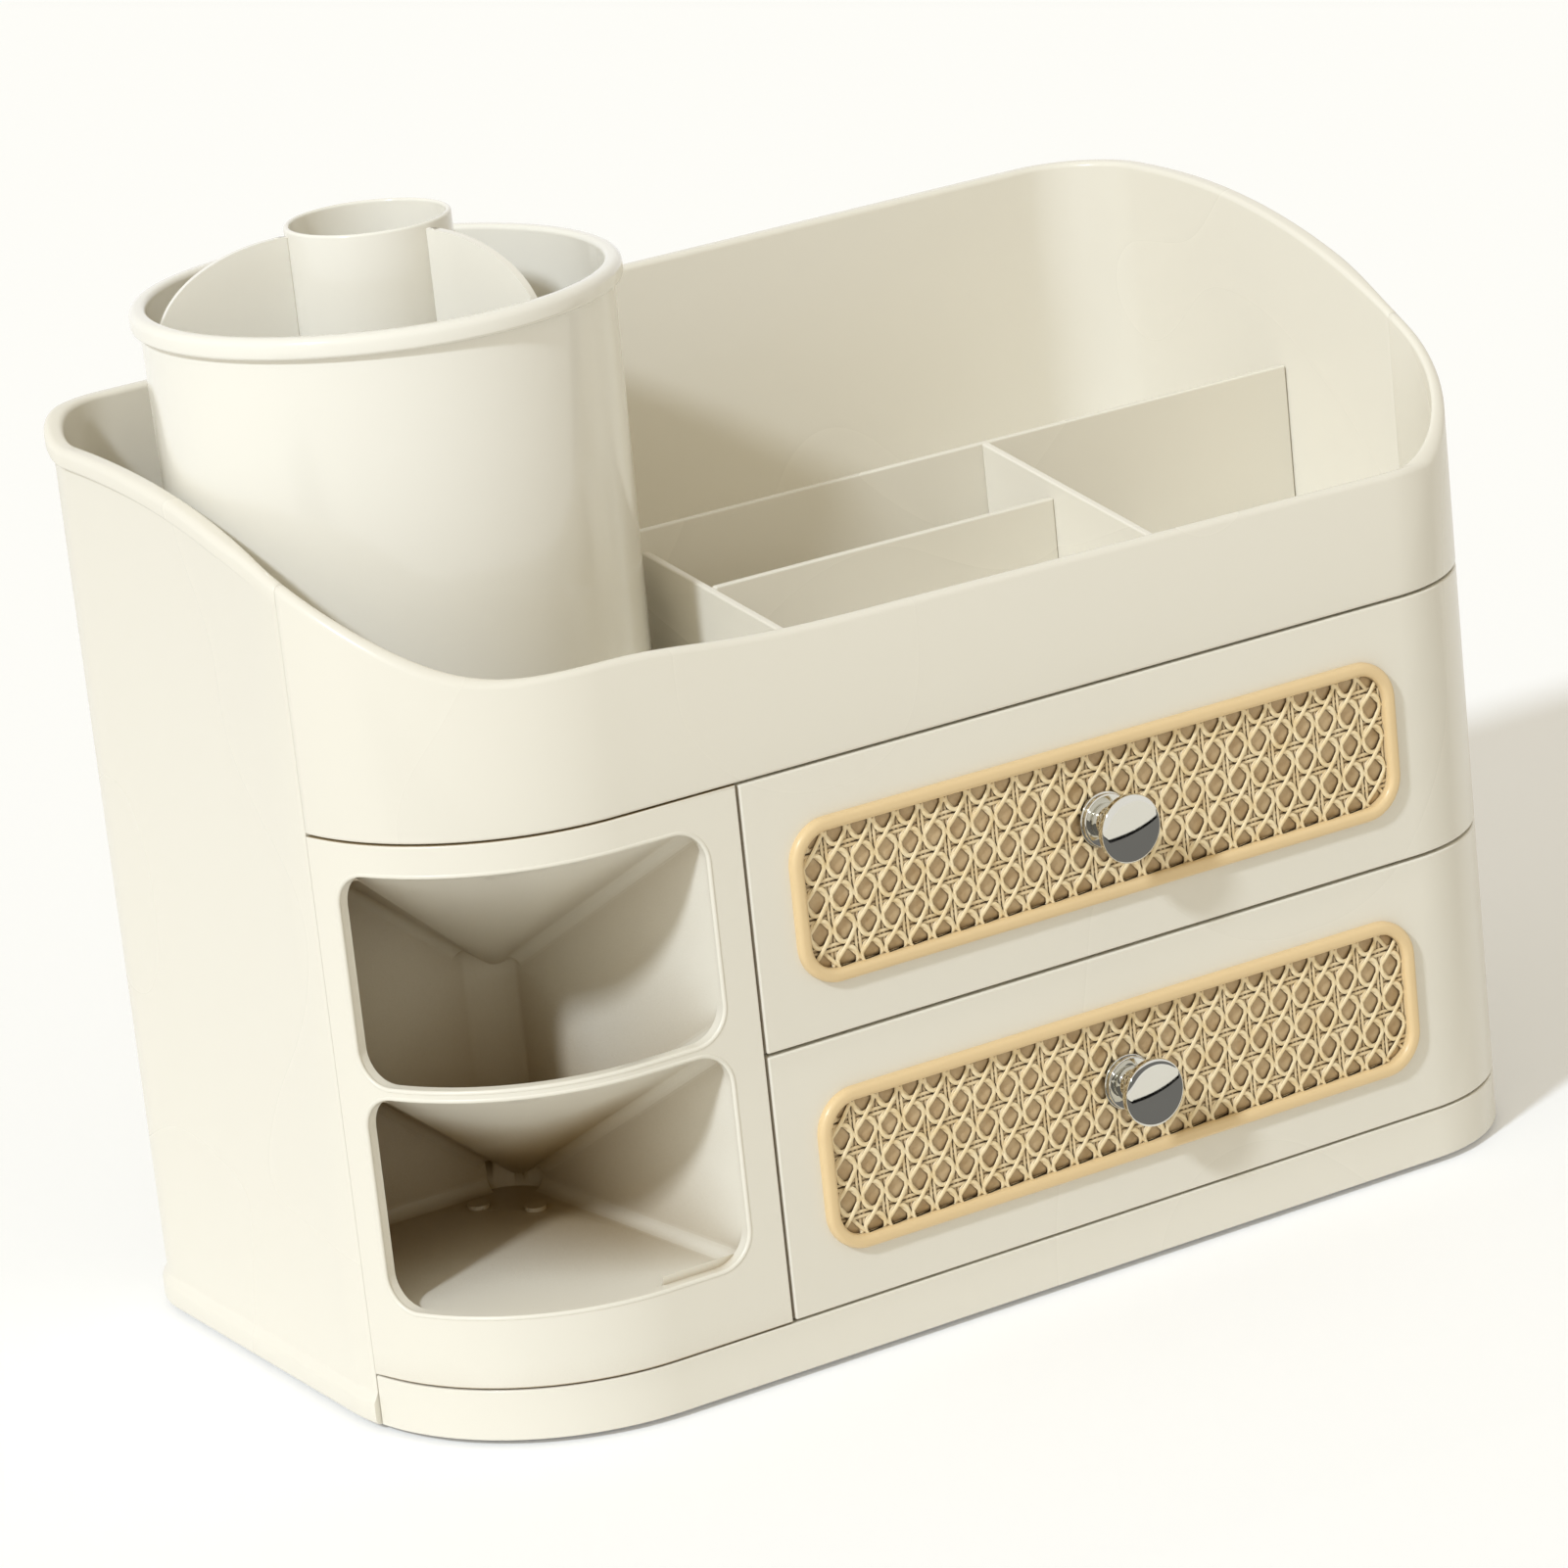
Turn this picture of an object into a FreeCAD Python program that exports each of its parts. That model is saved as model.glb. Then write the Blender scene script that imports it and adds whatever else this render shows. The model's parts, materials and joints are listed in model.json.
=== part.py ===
import FreeCAD, Part
import math
import os
import Sketcher
from FreeCAD import Placement, Rotation, Vector

# Makeup organizer: a case with two drawers and two corner pockets under a divided
# tray, and a round brush cup that turns on the tray and holds a lift-out insert.
# Millimetres. X runs from the cup to the drawers' right end, Y from the front to the
# back and Z up. The origin is the centre of the footprint, knobs and rim included,
# on the table. Depths and widths in the sheet are measured from the case's left side
# and front face, and heights from the table.

SIZES = (
    ("case_width", 300), ("case_depth", 164), ("case_wall", 3),
    ("left_corner", 54), ("right_corner", 35), ("back_corner", 22),
    ("left_parting_run", 10), ("right_parting_run", 4),
    ("seam_gap", 0.4), ("drawer_gap", 0.8), ("slide_gap", 0.3), ("fit_gap", 0.2),
    ("foot_height", 1.5), ("foot_radius", 7), ("foot_inset", 30),
    ("plinth_seam", 13.7), ("middle_seam", 77), ("upper_seam", 140.4),
    ("base_sheet", 2.5), ("base_rib", 1.6), ("base_rib_height", 6),
    ("bead_reach", 1.6), ("bead_height", 4), ("bead_fade", 24),
    ("flare_reach", 1.4), ("flare_lip", 3), ("flare_height", 7.5),
    ("front_rim", 171), ("left_front_rim", 175), ("right_front_rim", 170),
    ("front_ramp", 76), ("left_ease_low", 16.5), ("left_ease_high", 32.5),
    ("left_shoulder_run", 24.3), ("left_shoulder", 212.3), ("left_back_rim", 217.5),
    ("right_ease_low", 2), ("right_ease_high", 47), ("right_shoulder_run", 29),
    ("right_back_rim", 219.5),
    ("tray_sheet", 2.8), ("divider_sheet", 2), ("divider_height", 34),
    ("long_divider_depth", 83), ("middle_divider_depth", 54), ("middle_divider_height", 25.5),
    ("left_cross_gap", 1.2), ("left_cross_height", 29), ("left_cross_front_height", 18.5),
    ("right_cross_run", 91.3), ("right_cross_front_height", 21),
    ("cubby_width", 84.2), ("cubby_stile", 8.9), ("cubby_taper", 9.3), ("cubby_opening_turn", 19),
    ("cubby_depth", 88), ("cubby_sheet", 2), ("cubby_shelf", 2.6), ("cubby_shelf_height", 82.6),
    ("cubby_sill_margin", 17.3), ("cubby_head_margin", 7.5), ("cubby_sill_lip", 1.2),
    ("cubby_tip_height", 3.1), ("cubby_round", 8), ("cubby_back_round", 8),
    ("cubby_stud_radius", 2.6), ("cubby_stud_height", 0.9),
    ("bay_sheet", 2.5), ("deck_sheet", 2.4), ("ledge_reach", 1.7),
    ("ledge_height", 2), ("screw_radius", 1.5), ("screw_length", 16),
    ("screw_head_radius", 3), ("screw_head_height", 1.8), ("screw_point", 1.5),
    ("boss_radius", 4), ("boss_height", 18), ("boss_bite", 0.5), ("boss_inset", 6),
    ("hole_clearance", 0.1),
    ("drawer_panel", 3), ("box_back_gap", 13), ("box_drop", 8.5), ("box_sheet", 2),
    ("box_round", 5), ("bezel_left_margin", 10.3), ("bezel_right_margin", 38.7),
    ("bezel_height", 38.4),
    ("bezel_band", 3), ("bezel_round", 10), ("bezel_reach", 2), ("bezel_edge", 0.6),
    ("cane_sheet", 1.6), ("cane_recess", 1.2), ("knob_radius", 8), ("knob_reach", 13),
    ("knob_neck", 3.4), ("knob_rim", 2.2), ("knob_dome", 0.7),
    ("collar_radius", 6.6), ("collar_height", 2),
    ("knob_screw_radius", 2), ("knob_screw_head", 3.6), ("knob_thread", 6),
    ("cup_side_gap", 3.5), ("cup_back_gap", 17.5), ("cup_base_radius", 52),
    ("cup_draft", 1.3), ("cup_sheet", 2), ("cup_floor", 2.4), ("cup_top", 246.4),
    ("lip_reach", 2), ("lip_height", 4.8), ("lip_round", 1.6), ("cup_edge", 2),
    ("glide_radius", 40), ("glide_band", 4), ("glide_height", 1.3),
    ("pivot_radius", 4), ("pivot_flange", 8), ("pivot_flange_height", 1.2),
    ("running_gap", 0.05), ("washer_radius", 6.5), ("washer_height", 0.8),
    ("pivot_head_radius", 3.6), ("pivot_head_height", 1.8), ("pivot_screw_radius", 1.5),
    ("pivot_screw_length", 4),
    ("tube_radius", 18.8), ("tube_sheet", 1.3), ("tube_rise", 14.2), ("tube_floor", 3.2),
    ("wing_sheet", 1.8), ("wing_root_rise", 12.8), ("wing_tip_drop", 7.4), ("wing_gap", 0.6),
    ("wing_turn", 13),
)

os.makedirs("parts", exist_ok=True)
doc = FreeCAD.newDocument("makeup_organizer")


class Dim:
    """A size: its value now, and the expression that ties a feature to the sheet."""

    def __init__(self, value, text):
        self.value = value
        self.text = text

    def __float__(self):
        return float(self.value)

    def __add__(self, other):
        return Dim(float(self) + float(other), "(%s + %s)" % (self.text, words(other)))

    def __radd__(self, other):
        return self + other

    def __sub__(self, other):
        return Dim(float(self) - float(other), "(%s - %s)" % (self.text, words(other)))

    def __rsub__(self, other):
        return Dim(float(other) - float(self), "(%s - %s)" % (words(other), self.text))

    def __mul__(self, other):
        return Dim(float(self) * float(other), "(%s * %s)" % (self.text, words(other)))

    def __rmul__(self, other):
        return self * other

    def __truediv__(self, other):
        return Dim(float(self) / float(other), "(%s / %s)" % (self.text, words(other)))

    def __neg__(self):
        return Dim(-float(self), "(0 - %s)" % self.text)


def words(number):
    return number.text if isinstance(number, Dim) else repr(float(number))


class Sizes:
    """Every driving size of the sheet, by its name."""


def make_sheet():
    sheet = doc.addObject("Spreadsheet::Sheet", "Sizes")
    for row, (name, value) in enumerate(SIZES, 1):
        sheet.set("A%d" % row, name)
        sheet.set("B%d" % row, str(value))
        sheet.setAlias("B%d" % row, name)
    doc.recompute()
    sizes = Sizes()
    for name, _ in SIZES:
        setattr(sizes, name, Dim(float(sheet.get(name)), "Sizes." + name))
    return sizes


s = make_sheet()

# Places that several pieces share
CASE_LEFT = -s.case_width / 2
CASE_FRONT = (s.knob_reach - s.case_depth - s.bead_reach) / 2
PLATE_TOP = s.plinth_seam + s.seam_gap / 2
DECK_TOP = s.middle_seam + s.seam_gap / 2
TRAY_UNDER = s.upper_seam - s.seam_gap / 2
TRAY_TOP = TRAY_UNDER + s.tray_sheet
CUP_UNDER = TRAY_TOP + s.glide_height + s.slide_gap
LEFT_PARTING = s.left_corner - s.left_parting_run
RIGHT_PARTING = s.right_corner + s.right_parting_run
CUP_WIDTH = s.case_wall + s.cup_side_gap + s.cup_base_radius
CUP_DEPTH = s.case_depth - s.case_wall - s.cup_back_gap - s.cup_base_radius
CUP_TOP_RADIUS = s.cup_base_radius + s.cup_draft

# The bay of the drawers, with the wall on its left and the ledges that carry the deck
BAY_LEFT = s.cubby_width + s.drawer_gap
BAY_RIGHT = BAY_LEFT + s.bay_sheet
BAY_FRONT = s.drawer_panel + s.drawer_gap - s.slide_gap
LEDGE_RIGHT = s.case_width - s.case_wall - s.ledge_reach - s.seam_gap
BAY_SCREW_WIDTH = BAY_LEFT - s.boss_radius + s.boss_bite
BAY_SCREW_DEPTHS = (s.cubby_depth + s.cubby_sheet + s.boss_radius + s.boss_inset,
                    s.case_depth - s.case_wall - s.boss_radius - s.boss_inset)
BOX_LEFT = BAY_RIGHT + s.ledge_reach + s.slide_gap
BOX_RIGHT = LEDGE_RIGHT - s.slide_gap - s.fit_gap
BOX_BACK = s.case_depth - s.case_wall - s.box_back_gap
BEZEL_WIDTH = s.case_width - BAY_LEFT - s.bezel_left_margin - s.bezel_right_margin
BEZEL_CENTRE = BAY_LEFT + s.bezel_left_margin + BEZEL_WIDTH / 2

# The pockets' openings and their sloping sheets
OPENING_RIGHT = s.cubby_width - s.cubby_stile
POCKET_RIGHT = OPENING_RIGHT - s.cubby_taper
LOWER_SILL = s.plinth_seam + s.cubby_sill_margin
LOWER_HEAD = s.cubby_shelf_height - s.cubby_shelf / 2
UPPER_SILL = s.cubby_shelf_height + s.cubby_shelf / 2
UPPER_HEAD = s.upper_seam - s.cubby_head_margin
POCKET_FLOOR = LOWER_SILL - s.cubby_sill_lip
POCKET_DROP = UPPER_SILL - POCKET_FLOOR - s.cubby_tip_height

ZERO = Dim(0.0, "0")

# How far cutting solids reach past the case, how far they overlap it, the last trace
# of the foot flare where it runs out, and how near two heights count as one
ABOVE = 30.0
OVERLAP = 1.0
FLARE_END = 0.05
NEAR = 0.01

# Insert wings, in order about the cup's axis
WINGS = ("rear", "left", "right")

# Studs on the lower pocket's floor, from its back edge and from the back corner's side
STUDS = ((8, 16), (19, 7))

pieces = []


def keep(piece, label, x=ZERO, y=ZERO, z=ZERO, rotation=None):
    """Names a finished piece and places its origin, given from the case's left, front and table."""
    piece.Label = label
    if rotation is not None:
        piece.Placement = Placement(Vector(0, 0, 0), rotation)
    piece.setExpression("Placement.Base.x", (CASE_LEFT + x).text)
    piece.setExpression("Placement.Base.y", (CASE_FRONT + y).text)
    piece.setExpression("Placement.Base.z", z.text)
    pieces.append(piece)
    return piece


def keep_shape(shape, label):
    piece = doc.addObject("Part::Feature", label)
    piece.Shape = shape
    return keep(piece, label)


# Sketch and feature helpers

def new_body(name):
    return doc.addObject("PartDesign::Body", name + "_body")


def new_sketch(body, role="XY_Plane", offset=None):
    sketch = body.newObject("Sketcher::SketchObject", body.Name + "_sketch")
    plane = [item for item in body.Origin.OriginFeatures if item.Role == role][0]
    sketch.AttachmentSupport = [(plane, "")]
    sketch.MapMode = "FlatFace"
    if offset is not None:
        sketch.setExpression("AttachmentOffset.Base.z", offset.text)
    return sketch


def tie(sketch, constraint, size):
    """Adds one dimension to a sketch and binds it to the sheet."""
    index = sketch.addConstraint(constraint)
    if isinstance(size, Dim) and size is not ZERO:
        sketch.setExpression("Constraints[%d]" % index, size.text)


def pin(sketch, geometry, end, x, y):
    for kind, size in (("DistanceX", x), ("DistanceY", y)):
        tie(sketch, Sketcher.Constraint(kind, -1, 1, geometry, end, float(size)), size)


def arc_centre(start, end, radius):
    """Centre of the short arc that turns left from start to end, or right if radius is below zero."""
    chord = end - start
    half = chord.Length / 2
    rise = math.sqrt(max(radius * radius - half * half, 0))
    side = Vector(-chord.y, chord.x, 0).normalize() * math.copysign(rise, radius)
    return (start + end) * 0.5 + side


def trace(sketch, corners):
    """Draws a closed outline. A corner is (x, y), or (x, y, radius) where an arc leads to it."""
    count = len(corners)
    first = sketch.GeometryCount
    ends = []
    for index in range(count):
        here = corners[index]
        there = corners[(index + 1) % count]
        start = Vector(float(here[0]), float(here[1]), 0)
        end = Vector(float(there[0]), float(there[1]), 0)
        if len(there) == 2:
            sketch.addGeometry(Part.LineSegment(start, end), False)
            ends.append((1, 2))
            continue
        radius = float(there[2])
        centre = arc_centre(start, end, radius)
        angles = [math.atan2((p - centre).y, (p - centre).x) for p in (start, end)]
        if radius < 0:
            angles.reverse()
        circle = Part.Circle(centre, Vector(0, 0, 1), abs(radius))
        sketch.addGeometry(Part.ArcOfCircle(circle, angles[0], angles[1]), False)
        ends.append((1, 2) if radius > 0 else (2, 1))
    for index in range(count):
        following = (index + 1) % count
        sketch.addConstraint(Sketcher.Constraint(
            "Coincident", first + index, ends[index][1], first + following, ends[following][0]))
        pin(sketch, first + index, ends[index][0], corners[index][0], corners[index][1])
        corner = corners[following]
        if len(corner) == 3:
            size = corner[2] if float(corner[2]) > 0 else -corner[2]
            tie(sketch, Sketcher.Constraint("Radius", first + index, float(size)), size)


def rectangle(sketch, left, low, right, high, rounds=None):
    """Rectangle with rounds for the corners: low left, low right, high right, high left."""
    a, b, c, d = rounds or (None, None, None, None)
    corners = []
    corners += [(left + a, low)] if a else [(left, low)]
    corners += [(right - b, low), (right, low + b, b)] if b else [(right, low)]
    corners += [(right, high - c), (right - c, high, c)] if c else [(right, high)]
    corners += [(left + d, high), (left, high - d, d)] if d else [(left, high)]
    if a:
        corners.append((left, low + a))
        corners[0] = (left + a, low, a)
    trace(sketch, corners)


def circle(sketch, x, y, radius):
    index = sketch.addGeometry(
        Part.Circle(Vector(float(x), float(y), 0), Vector(0, 0, 1), float(radius)), False)
    pin(sketch, index, 3, x, y)
    tie(sketch, Sketcher.Constraint("Radius", index, float(radius)), radius)


def grow(body, kind, sketch, length, midplane=False):
    feature = body.newObject("PartDesign::" + kind, body.Name + "_" + kind.lower())
    feature.Profile = sketch
    feature.Length = float(length)
    feature.setExpression("Length", length.text)
    if midplane:
        feature.Midplane = True
    sketch.Visibility = False
    return feature


def pad(body, sketch, length, midplane=False):
    return grow(body, "Pad", sketch, length, midplane)


def pocket(body, sketch, length):
    before = body.Shape.Volume
    feature = grow(body, "Pocket", sketch, length)
    doc.recompute()
    if body.Shape.Volume >= before:
        raise RuntimeError("pocket cuts nothing in " + body.Name)
    return feature


def turned(name, corners):
    """A round piece: its half outline, as radius and height, turned about Z."""
    body = new_body(name)
    sketch = new_sketch(body, "XZ_Plane")
    trace(sketch, corners)
    feature = body.newObject("PartDesign::Revolution", body.Name + "_turn")
    feature.Profile = sketch
    feature.ReferenceAxis = (sketch, ["V_Axis"])
    feature.Angle = 360
    doc.recompute()
    return body


# Plan outlines of the case, as edges at a distance outside its outer face

def plan_arc(centre_x, centre_y, radius, start, end):
    spots = [Vector(centre_x + radius * math.cos(turn), centre_y + radius * math.sin(turn), 0)
             for turn in (start, (start + end) / 2, end)]
    return Part.Arc(*spots).toShape()


def plan_line(x1, y1, x2, y2):
    return Part.LineSegment(Vector(x1, y1, 0), Vector(x2, y2, 0)).toShape()


def left_turn(out, parting):
    """Angle on the front left corner at the depth of the left parting line."""
    corner = float(s.left_corner)
    return math.pi + math.asin((corner - parting) / (corner + out))


def front_path(out):
    """Front of the case, from the left parting line to the right one."""
    left, right, width = float(s.left_corner), float(s.right_corner), float(s.case_width)
    start = left_turn(out, float(LEFT_PARTING - s.seam_gap / 2))
    return [
        plan_arc(left, left, left + out, start, 1.5 * math.pi),
        plan_line(left, -out, width - right, -out),
        plan_arc(width - right, right, right + out, 1.5 * math.pi, 2 * math.pi),
        plan_line(width + out, right, width + out, float(RIGHT_PARTING - s.seam_gap / 2)),
    ]


def rear_path(out, fade=False):
    """Sides and back, from the right parting line to the left one, or to fading ends."""
    left, back = float(s.left_corner), float(s.back_corner)
    width, depth = float(s.case_width), float(s.case_depth)
    right_start = float(RIGHT_PARTING + s.seam_gap / 2)
    path = []
    if fade:
        path.append(plan_line(width, right_start, width + out, right_start + float(s.bead_fade)))
        right_start += float(s.bead_fade)
    path += [
        plan_line(width + out, right_start, width + out, depth - back),
        plan_arc(width - back, depth - back, back + out, 0, math.pi / 2),
        plan_line(width - back, depth + out, back, depth + out),
        plan_arc(back, depth - back, back + out, math.pi / 2, math.pi),
    ]
    if fade:
        path.append(plan_line(-out, depth - back, -out, left + float(s.bead_fade)))
        path.append(plan_line(-out, left + float(s.bead_fade), 0, left))
        return path
    path.append(plan_line(-out, depth - back, -out, left))
    end = left_turn(out, float(LEFT_PARTING + s.seam_gap / 2))
    path.append(plan_arc(left, left, left + out, math.pi, end))
    return path


def whole_outline(out):
    """Closed outline of the case at a distance outside its outer face."""
    front = front_path(out)
    rear = rear_path(out)
    joins = [joined(front[-1], rear[0]), joined(rear[-1], front[0])]
    return Part.Wire(Part.__sortEdges__(front + rear + joins))


def ends(edge):
    return edge.firstVertex(True).Point, edge.lastVertex(True).Point


def joined(first, second):
    """Straight edge from the end of one edge to the start of the next."""
    pairs = [(a, b) for a in ends(first) for b in ends(second)]
    near = min(pairs, key=lambda pair: (pair[0] - pair[1]).Length)
    return Part.LineSegment(*near).toShape()


def strip_wire(outer, inner):
    """Closed outline between two open paths."""
    def tips(path):
        return Part.Wire(Part.__sortEdges__(path)).OrderedVertexes
    a, b = tips(outer), tips(inner)
    links = []
    for tip in (a[0].Point, a[-1].Point):
        other = min((b[0].Point, b[-1].Point), key=lambda spot: (spot - tip).Length)
        links.append(Part.LineSegment(tip, other).toShape())
    return Part.Wire(Part.__sortEdges__(outer + inner + links))


def prism(wire, low, high):
    face = Part.Face(wire)
    face.translate(Vector(0, 0, float(low)))
    return face.extrude(Vector(0, 0, float(high) - float(low)))


def polygon(points):
    return Part.makePolygon([Vector(*point) for point in points] + [Vector(*points[0])])


def slab(x, y, z):
    """Box between pairs of places along X, Y and Z."""
    sides = [float(pair[1]) - float(pair[0]) for pair in (x, y, z)]
    return Part.makeBox(*sides, Vector(float(x[0]), float(y[0]), float(z[0])))


def disc(x, y, radius, low, high):
    return Part.makeCylinder(
        float(radius), float(high) - float(low), Vector(float(x), float(y), float(low)))


# The swooping rim, as curves seen from the side

def side_curve(side, drop):
    """Rim height against depth on the left or right side, lowered by drop."""
    lip = float(s.case_wall)
    depth = float(s.case_depth)
    if side == "left":
        low, high = float(s.left_front_rim), float(s.left_shoulder)
        ease = (lip + float(s.left_ease_low), float(s.left_ease_high))
        far = depth - float(s.left_shoulder_run)
        back = float(s.left_back_rim)
    else:
        low, high = float(s.right_front_rim), float(s.right_back_rim)
        ease = (lip + float(s.right_ease_low), float(s.right_ease_high))
        far = depth - float(s.right_shoulder_run)
        back = high
    swoop = Part.BezierCurve()
    swoop.setPoles([Vector(0, y, z - drop) for y, z in
                    ((lip, low), (ease[0], low), (ease[1], high), (far, high))])
    rise = Part.BezierCurve()
    third = (depth - lip - far) / 3
    rise.setPoles([Vector(0, y, z - drop) for y, z in
                   ((far, high), (far + third, high), (far + 2 * third, back), (depth - lip, back))])
    return [
        Part.LineSegment(Vector(0, -ABOVE, low - drop), Vector(0, lip, low - drop)).toShape(),
        swoop.toShape(),
        rise.toShape(),
        Part.LineSegment(
            Vector(0, depth - lip, back - drop), Vector(0, depth + ABOVE, back - drop)).toShape(),
    ]


def cutter(curve, level, sweep):
    """Solid between a rim curve and a level, swept along X or Y."""
    first = Part.Wire(Part.__sortEdges__(curve)).OrderedVertexes
    start, end = first[0].Point, first[-1].Point
    high_start, high_end = Vector(start), Vector(end)
    high_start.z = high_end.z = level
    rest = [Part.LineSegment(start, high_start).toShape(),
            Part.LineSegment(high_start, high_end).toShape(),
            Part.LineSegment(high_end, end).toShape()]
    face = Part.Face(Part.Wire(Part.__sortEdges__(curve + rest)))
    return face.extrude(sweep)


def side_cutter(side, x1, x2, level, drop=0.0):
    curve = side_curve(side, drop)
    for edge in curve:
        edge.translate(Vector(x1, 0, 0))
    return cutter(curve, level, Vector(x2 - x1, 0, 0))


def back_cutter(level, drop=0.0):
    back, width = float(s.back_corner), float(s.case_width)
    start = Vector(back, float(s.case_depth) / 2, float(s.left_back_rim) - drop)
    end = Vector(width - back, float(s.case_depth) / 2, float(s.right_back_rim) - drop)
    return cutter([Part.LineSegment(start, end).toShape()], level, Vector(0, start.y + ABOVE, 0))


def front_cutter(level):
    left, right, width = float(s.left_corner), float(s.right_corner), float(s.case_width)
    high, flat, low = float(s.left_front_rim), float(s.front_rim), float(s.right_front_rim)
    flat_from = left + float(s.front_ramp)
    ramp = Part.BezierCurve()
    third = float(s.front_ramp) / 3
    ramp.setPoles([Vector(x, -ABOVE, z) for x, z in
                   ((left, high), (left + third, high), (left + third, flat), (flat_from, flat))])
    line = Part.LineSegment(
        Vector(flat_from, -ABOVE, flat), Vector(width - right, -ABOVE, low)).toShape()
    return cutter([ramp.toShape(), line], level, Vector(0, float(s.case_depth) / 2, 0))


# Case

def make_outer_shell():
    """Left side, back and right side in one wall, with rim bead, foot flare and screw bosses."""
    wall, back = float(s.case_wall), float(s.back_corner)
    width, depth = float(s.case_width), float(s.case_depth)
    top = max(float(s.left_back_rim), float(s.right_back_rim)) + ABOVE
    root = wall / 3
    shell = prism(strip_wire(rear_path(0), rear_path(-wall)), s.foot_height, top)
    bead = prism(strip_wire(rear_path(float(s.bead_reach), True), rear_path(-root)), s.upper_seam, top)
    drop = float(s.bead_height)
    below = 0.0
    spans = (("left", -ABOVE, back), ("right", width - back, width + ABOVE))
    for side, x1, x2 in spans:
        bead = bead.cut(side_cutter(side, x1, x2, below, drop))
    bead = bead.cut(back_cutter(below, drop))
    flare = float(s.flare_reach)
    foot_wires = []
    for out, height in ((flare, 0), (flare, s.flare_lip), (FLARE_END, s.flare_height)):
        wire = strip_wire(rear_path(out), rear_path(-root))
        wire.translate(Vector(0, 0, float(s.foot_height) + float(height)))
        foot_wires.append(wire)
    lip = Part.makeLoft(foot_wires[:2], True, True)
    slope = Part.makeLoft(foot_wires[1:], True, True)
    ledge_low = DECK_TOP - s.deck_sheet - s.ledge_height
    ledge = slab((LEDGE_RIGHT, width - root),
                 (RIGHT_PARTING + s.left_corner / 2, depth - back),
                 (ledge_low, ledge_low + s.ledge_height))
    parts = [bead, lip, slope, ledge]
    holes = []
    for x, y in shell_screws():
        parts.append(disc(x, y, s.boss_radius, PLATE_TOP, PLATE_TOP + s.boss_height))
        holes.append(disc(x, y, s.screw_radius + s.hole_clearance, PLATE_TOP - OVERLAP,
                          PLATE_TOP + s.boss_height - s.case_wall))
    shell = shell.fuse(parts)
    level = top + OVERLAP
    shell = shell.cut(holes + [side_cutter(side, x1, x2, level) for side, x1, x2 in spans])
    shell = shell.cut(back_cutter(level)).removeSplitter()
    keep_shape(shell, "outer_shell")


def shell_screws():
    """Screws into the shell's bosses, in its two back corners."""
    back = float(s.back_corner)
    slant = float(s.back_corner - s.case_wall - s.boss_radius + s.boss_bite) * math.sqrt(0.5)
    depth = float(s.case_depth) - back + slant
    return [(back - slant, depth), (float(s.case_width) - back + slant, depth)]


def bay_screws():
    """Screws into the bosses of the bay wall, behind the corner pockets."""
    return [(float(BAY_SCREW_WIDTH), float(depth)) for depth in BAY_SCREW_DEPTHS]


def foot_places():
    inset = float(s.foot_inset)
    right, back = float(s.case_width) - inset, float(s.case_depth) - inset
    return {"foot_front_left": (inset, inset), "foot_front_right": (right, inset),
            "foot_back_left": (inset, back), "foot_back_right": (right, back)}


def make_base_plate():
    """Floor of the case on a ribbed underside, with the plinth band along the front."""
    wall = float(s.case_wall)
    inside = -wall - float(s.fit_gap)
    under = PLATE_TOP - s.base_sheet
    plate = prism(whole_outline(inside), under, PLATE_TOP)
    band = prism(strip_wire(front_path(0), front_path(-wall)), s.foot_height,
                 s.plinth_seam - s.seam_gap / 2)
    root = prism(strip_wire(front_path(-wall / 2), front_path(-wall - OVERLAP)), under,
                 s.plinth_seam - s.seam_gap / 2)
    parts = [band, root]
    rib = float(s.base_rib)
    low = float(under) - float(s.base_rib_height)
    width, depth = float(s.case_width), float(s.case_depth)
    bay = width - float(BAY_RIGHT)
    between_screws = sum(float(place) for place in BAY_SCREW_DEPTHS) / 2
    for y in (float(s.cubby_depth) / 2, between_screws):
        parts.append(slab((wall * 2, width - wall * 2), (y - rib, y), (low, under)))
    for x in (float(BAY_LEFT) / 2, width - bay * 2 / 3, width - bay / 3):
        parts.append(slab((x - rib, x), (wall * 2, depth - wall * 2), (low, under)))
    for x, y in foot_places().values():
        parts.append(disc(x, y, s.foot_radius + OVERLAP, s.foot_height, under))
    plate = plate.fuse(parts)
    holes = [disc(x, y, s.screw_radius + s.hole_clearance, under - OVERLAP, PLATE_TOP + OVERLAP)
             for x, y in shell_screws() + bay_screws()]
    keep_shape(plate.cut(holes).removeSplitter(), "base_plate")


def make_feet():
    for name, (x, y) in foot_places().items():
        body = new_body(name)
        sketch = new_sketch(body)
        circle(sketch, ZERO, ZERO, s.foot_radius)
        pad(body, sketch, s.foot_height)
        right = "right" in name
        back = "back" in name
        keep(body, name, s.case_width - s.foot_inset if right else s.foot_inset,
             s.case_depth - s.foot_inset if back else s.foot_inset)


def make_base_screws():
    """Four pan-head screws from under the base plate, as one group."""
    under = float(PLATE_TOP - s.base_sheet)
    screws = []
    for x, y in shell_screws() + bay_screws():
        head = disc(x, y, s.screw_head_radius, under - float(s.screw_head_height), under)
        edge = [e for e in head.Edges if abs(e.BoundBox.ZMax - head.BoundBox.ZMin) < NEAR]
        head = head.makeFillet(float(s.screw_head_height) / 2, edge)
        tip = under + float(s.screw_length)
        shank = disc(x, y, s.screw_radius, under - float(s.screw_head_height) / 2, tip)
        point = Part.makeCone(float(s.screw_radius), float(s.screw_radius) / 5,
                              float(s.screw_point), Vector(x, y, tip))
        screws.append(head.fuse([shank, point]).removeSplitter())
    keep_shape(Part.makeCompound(screws), "base_screws")


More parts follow.
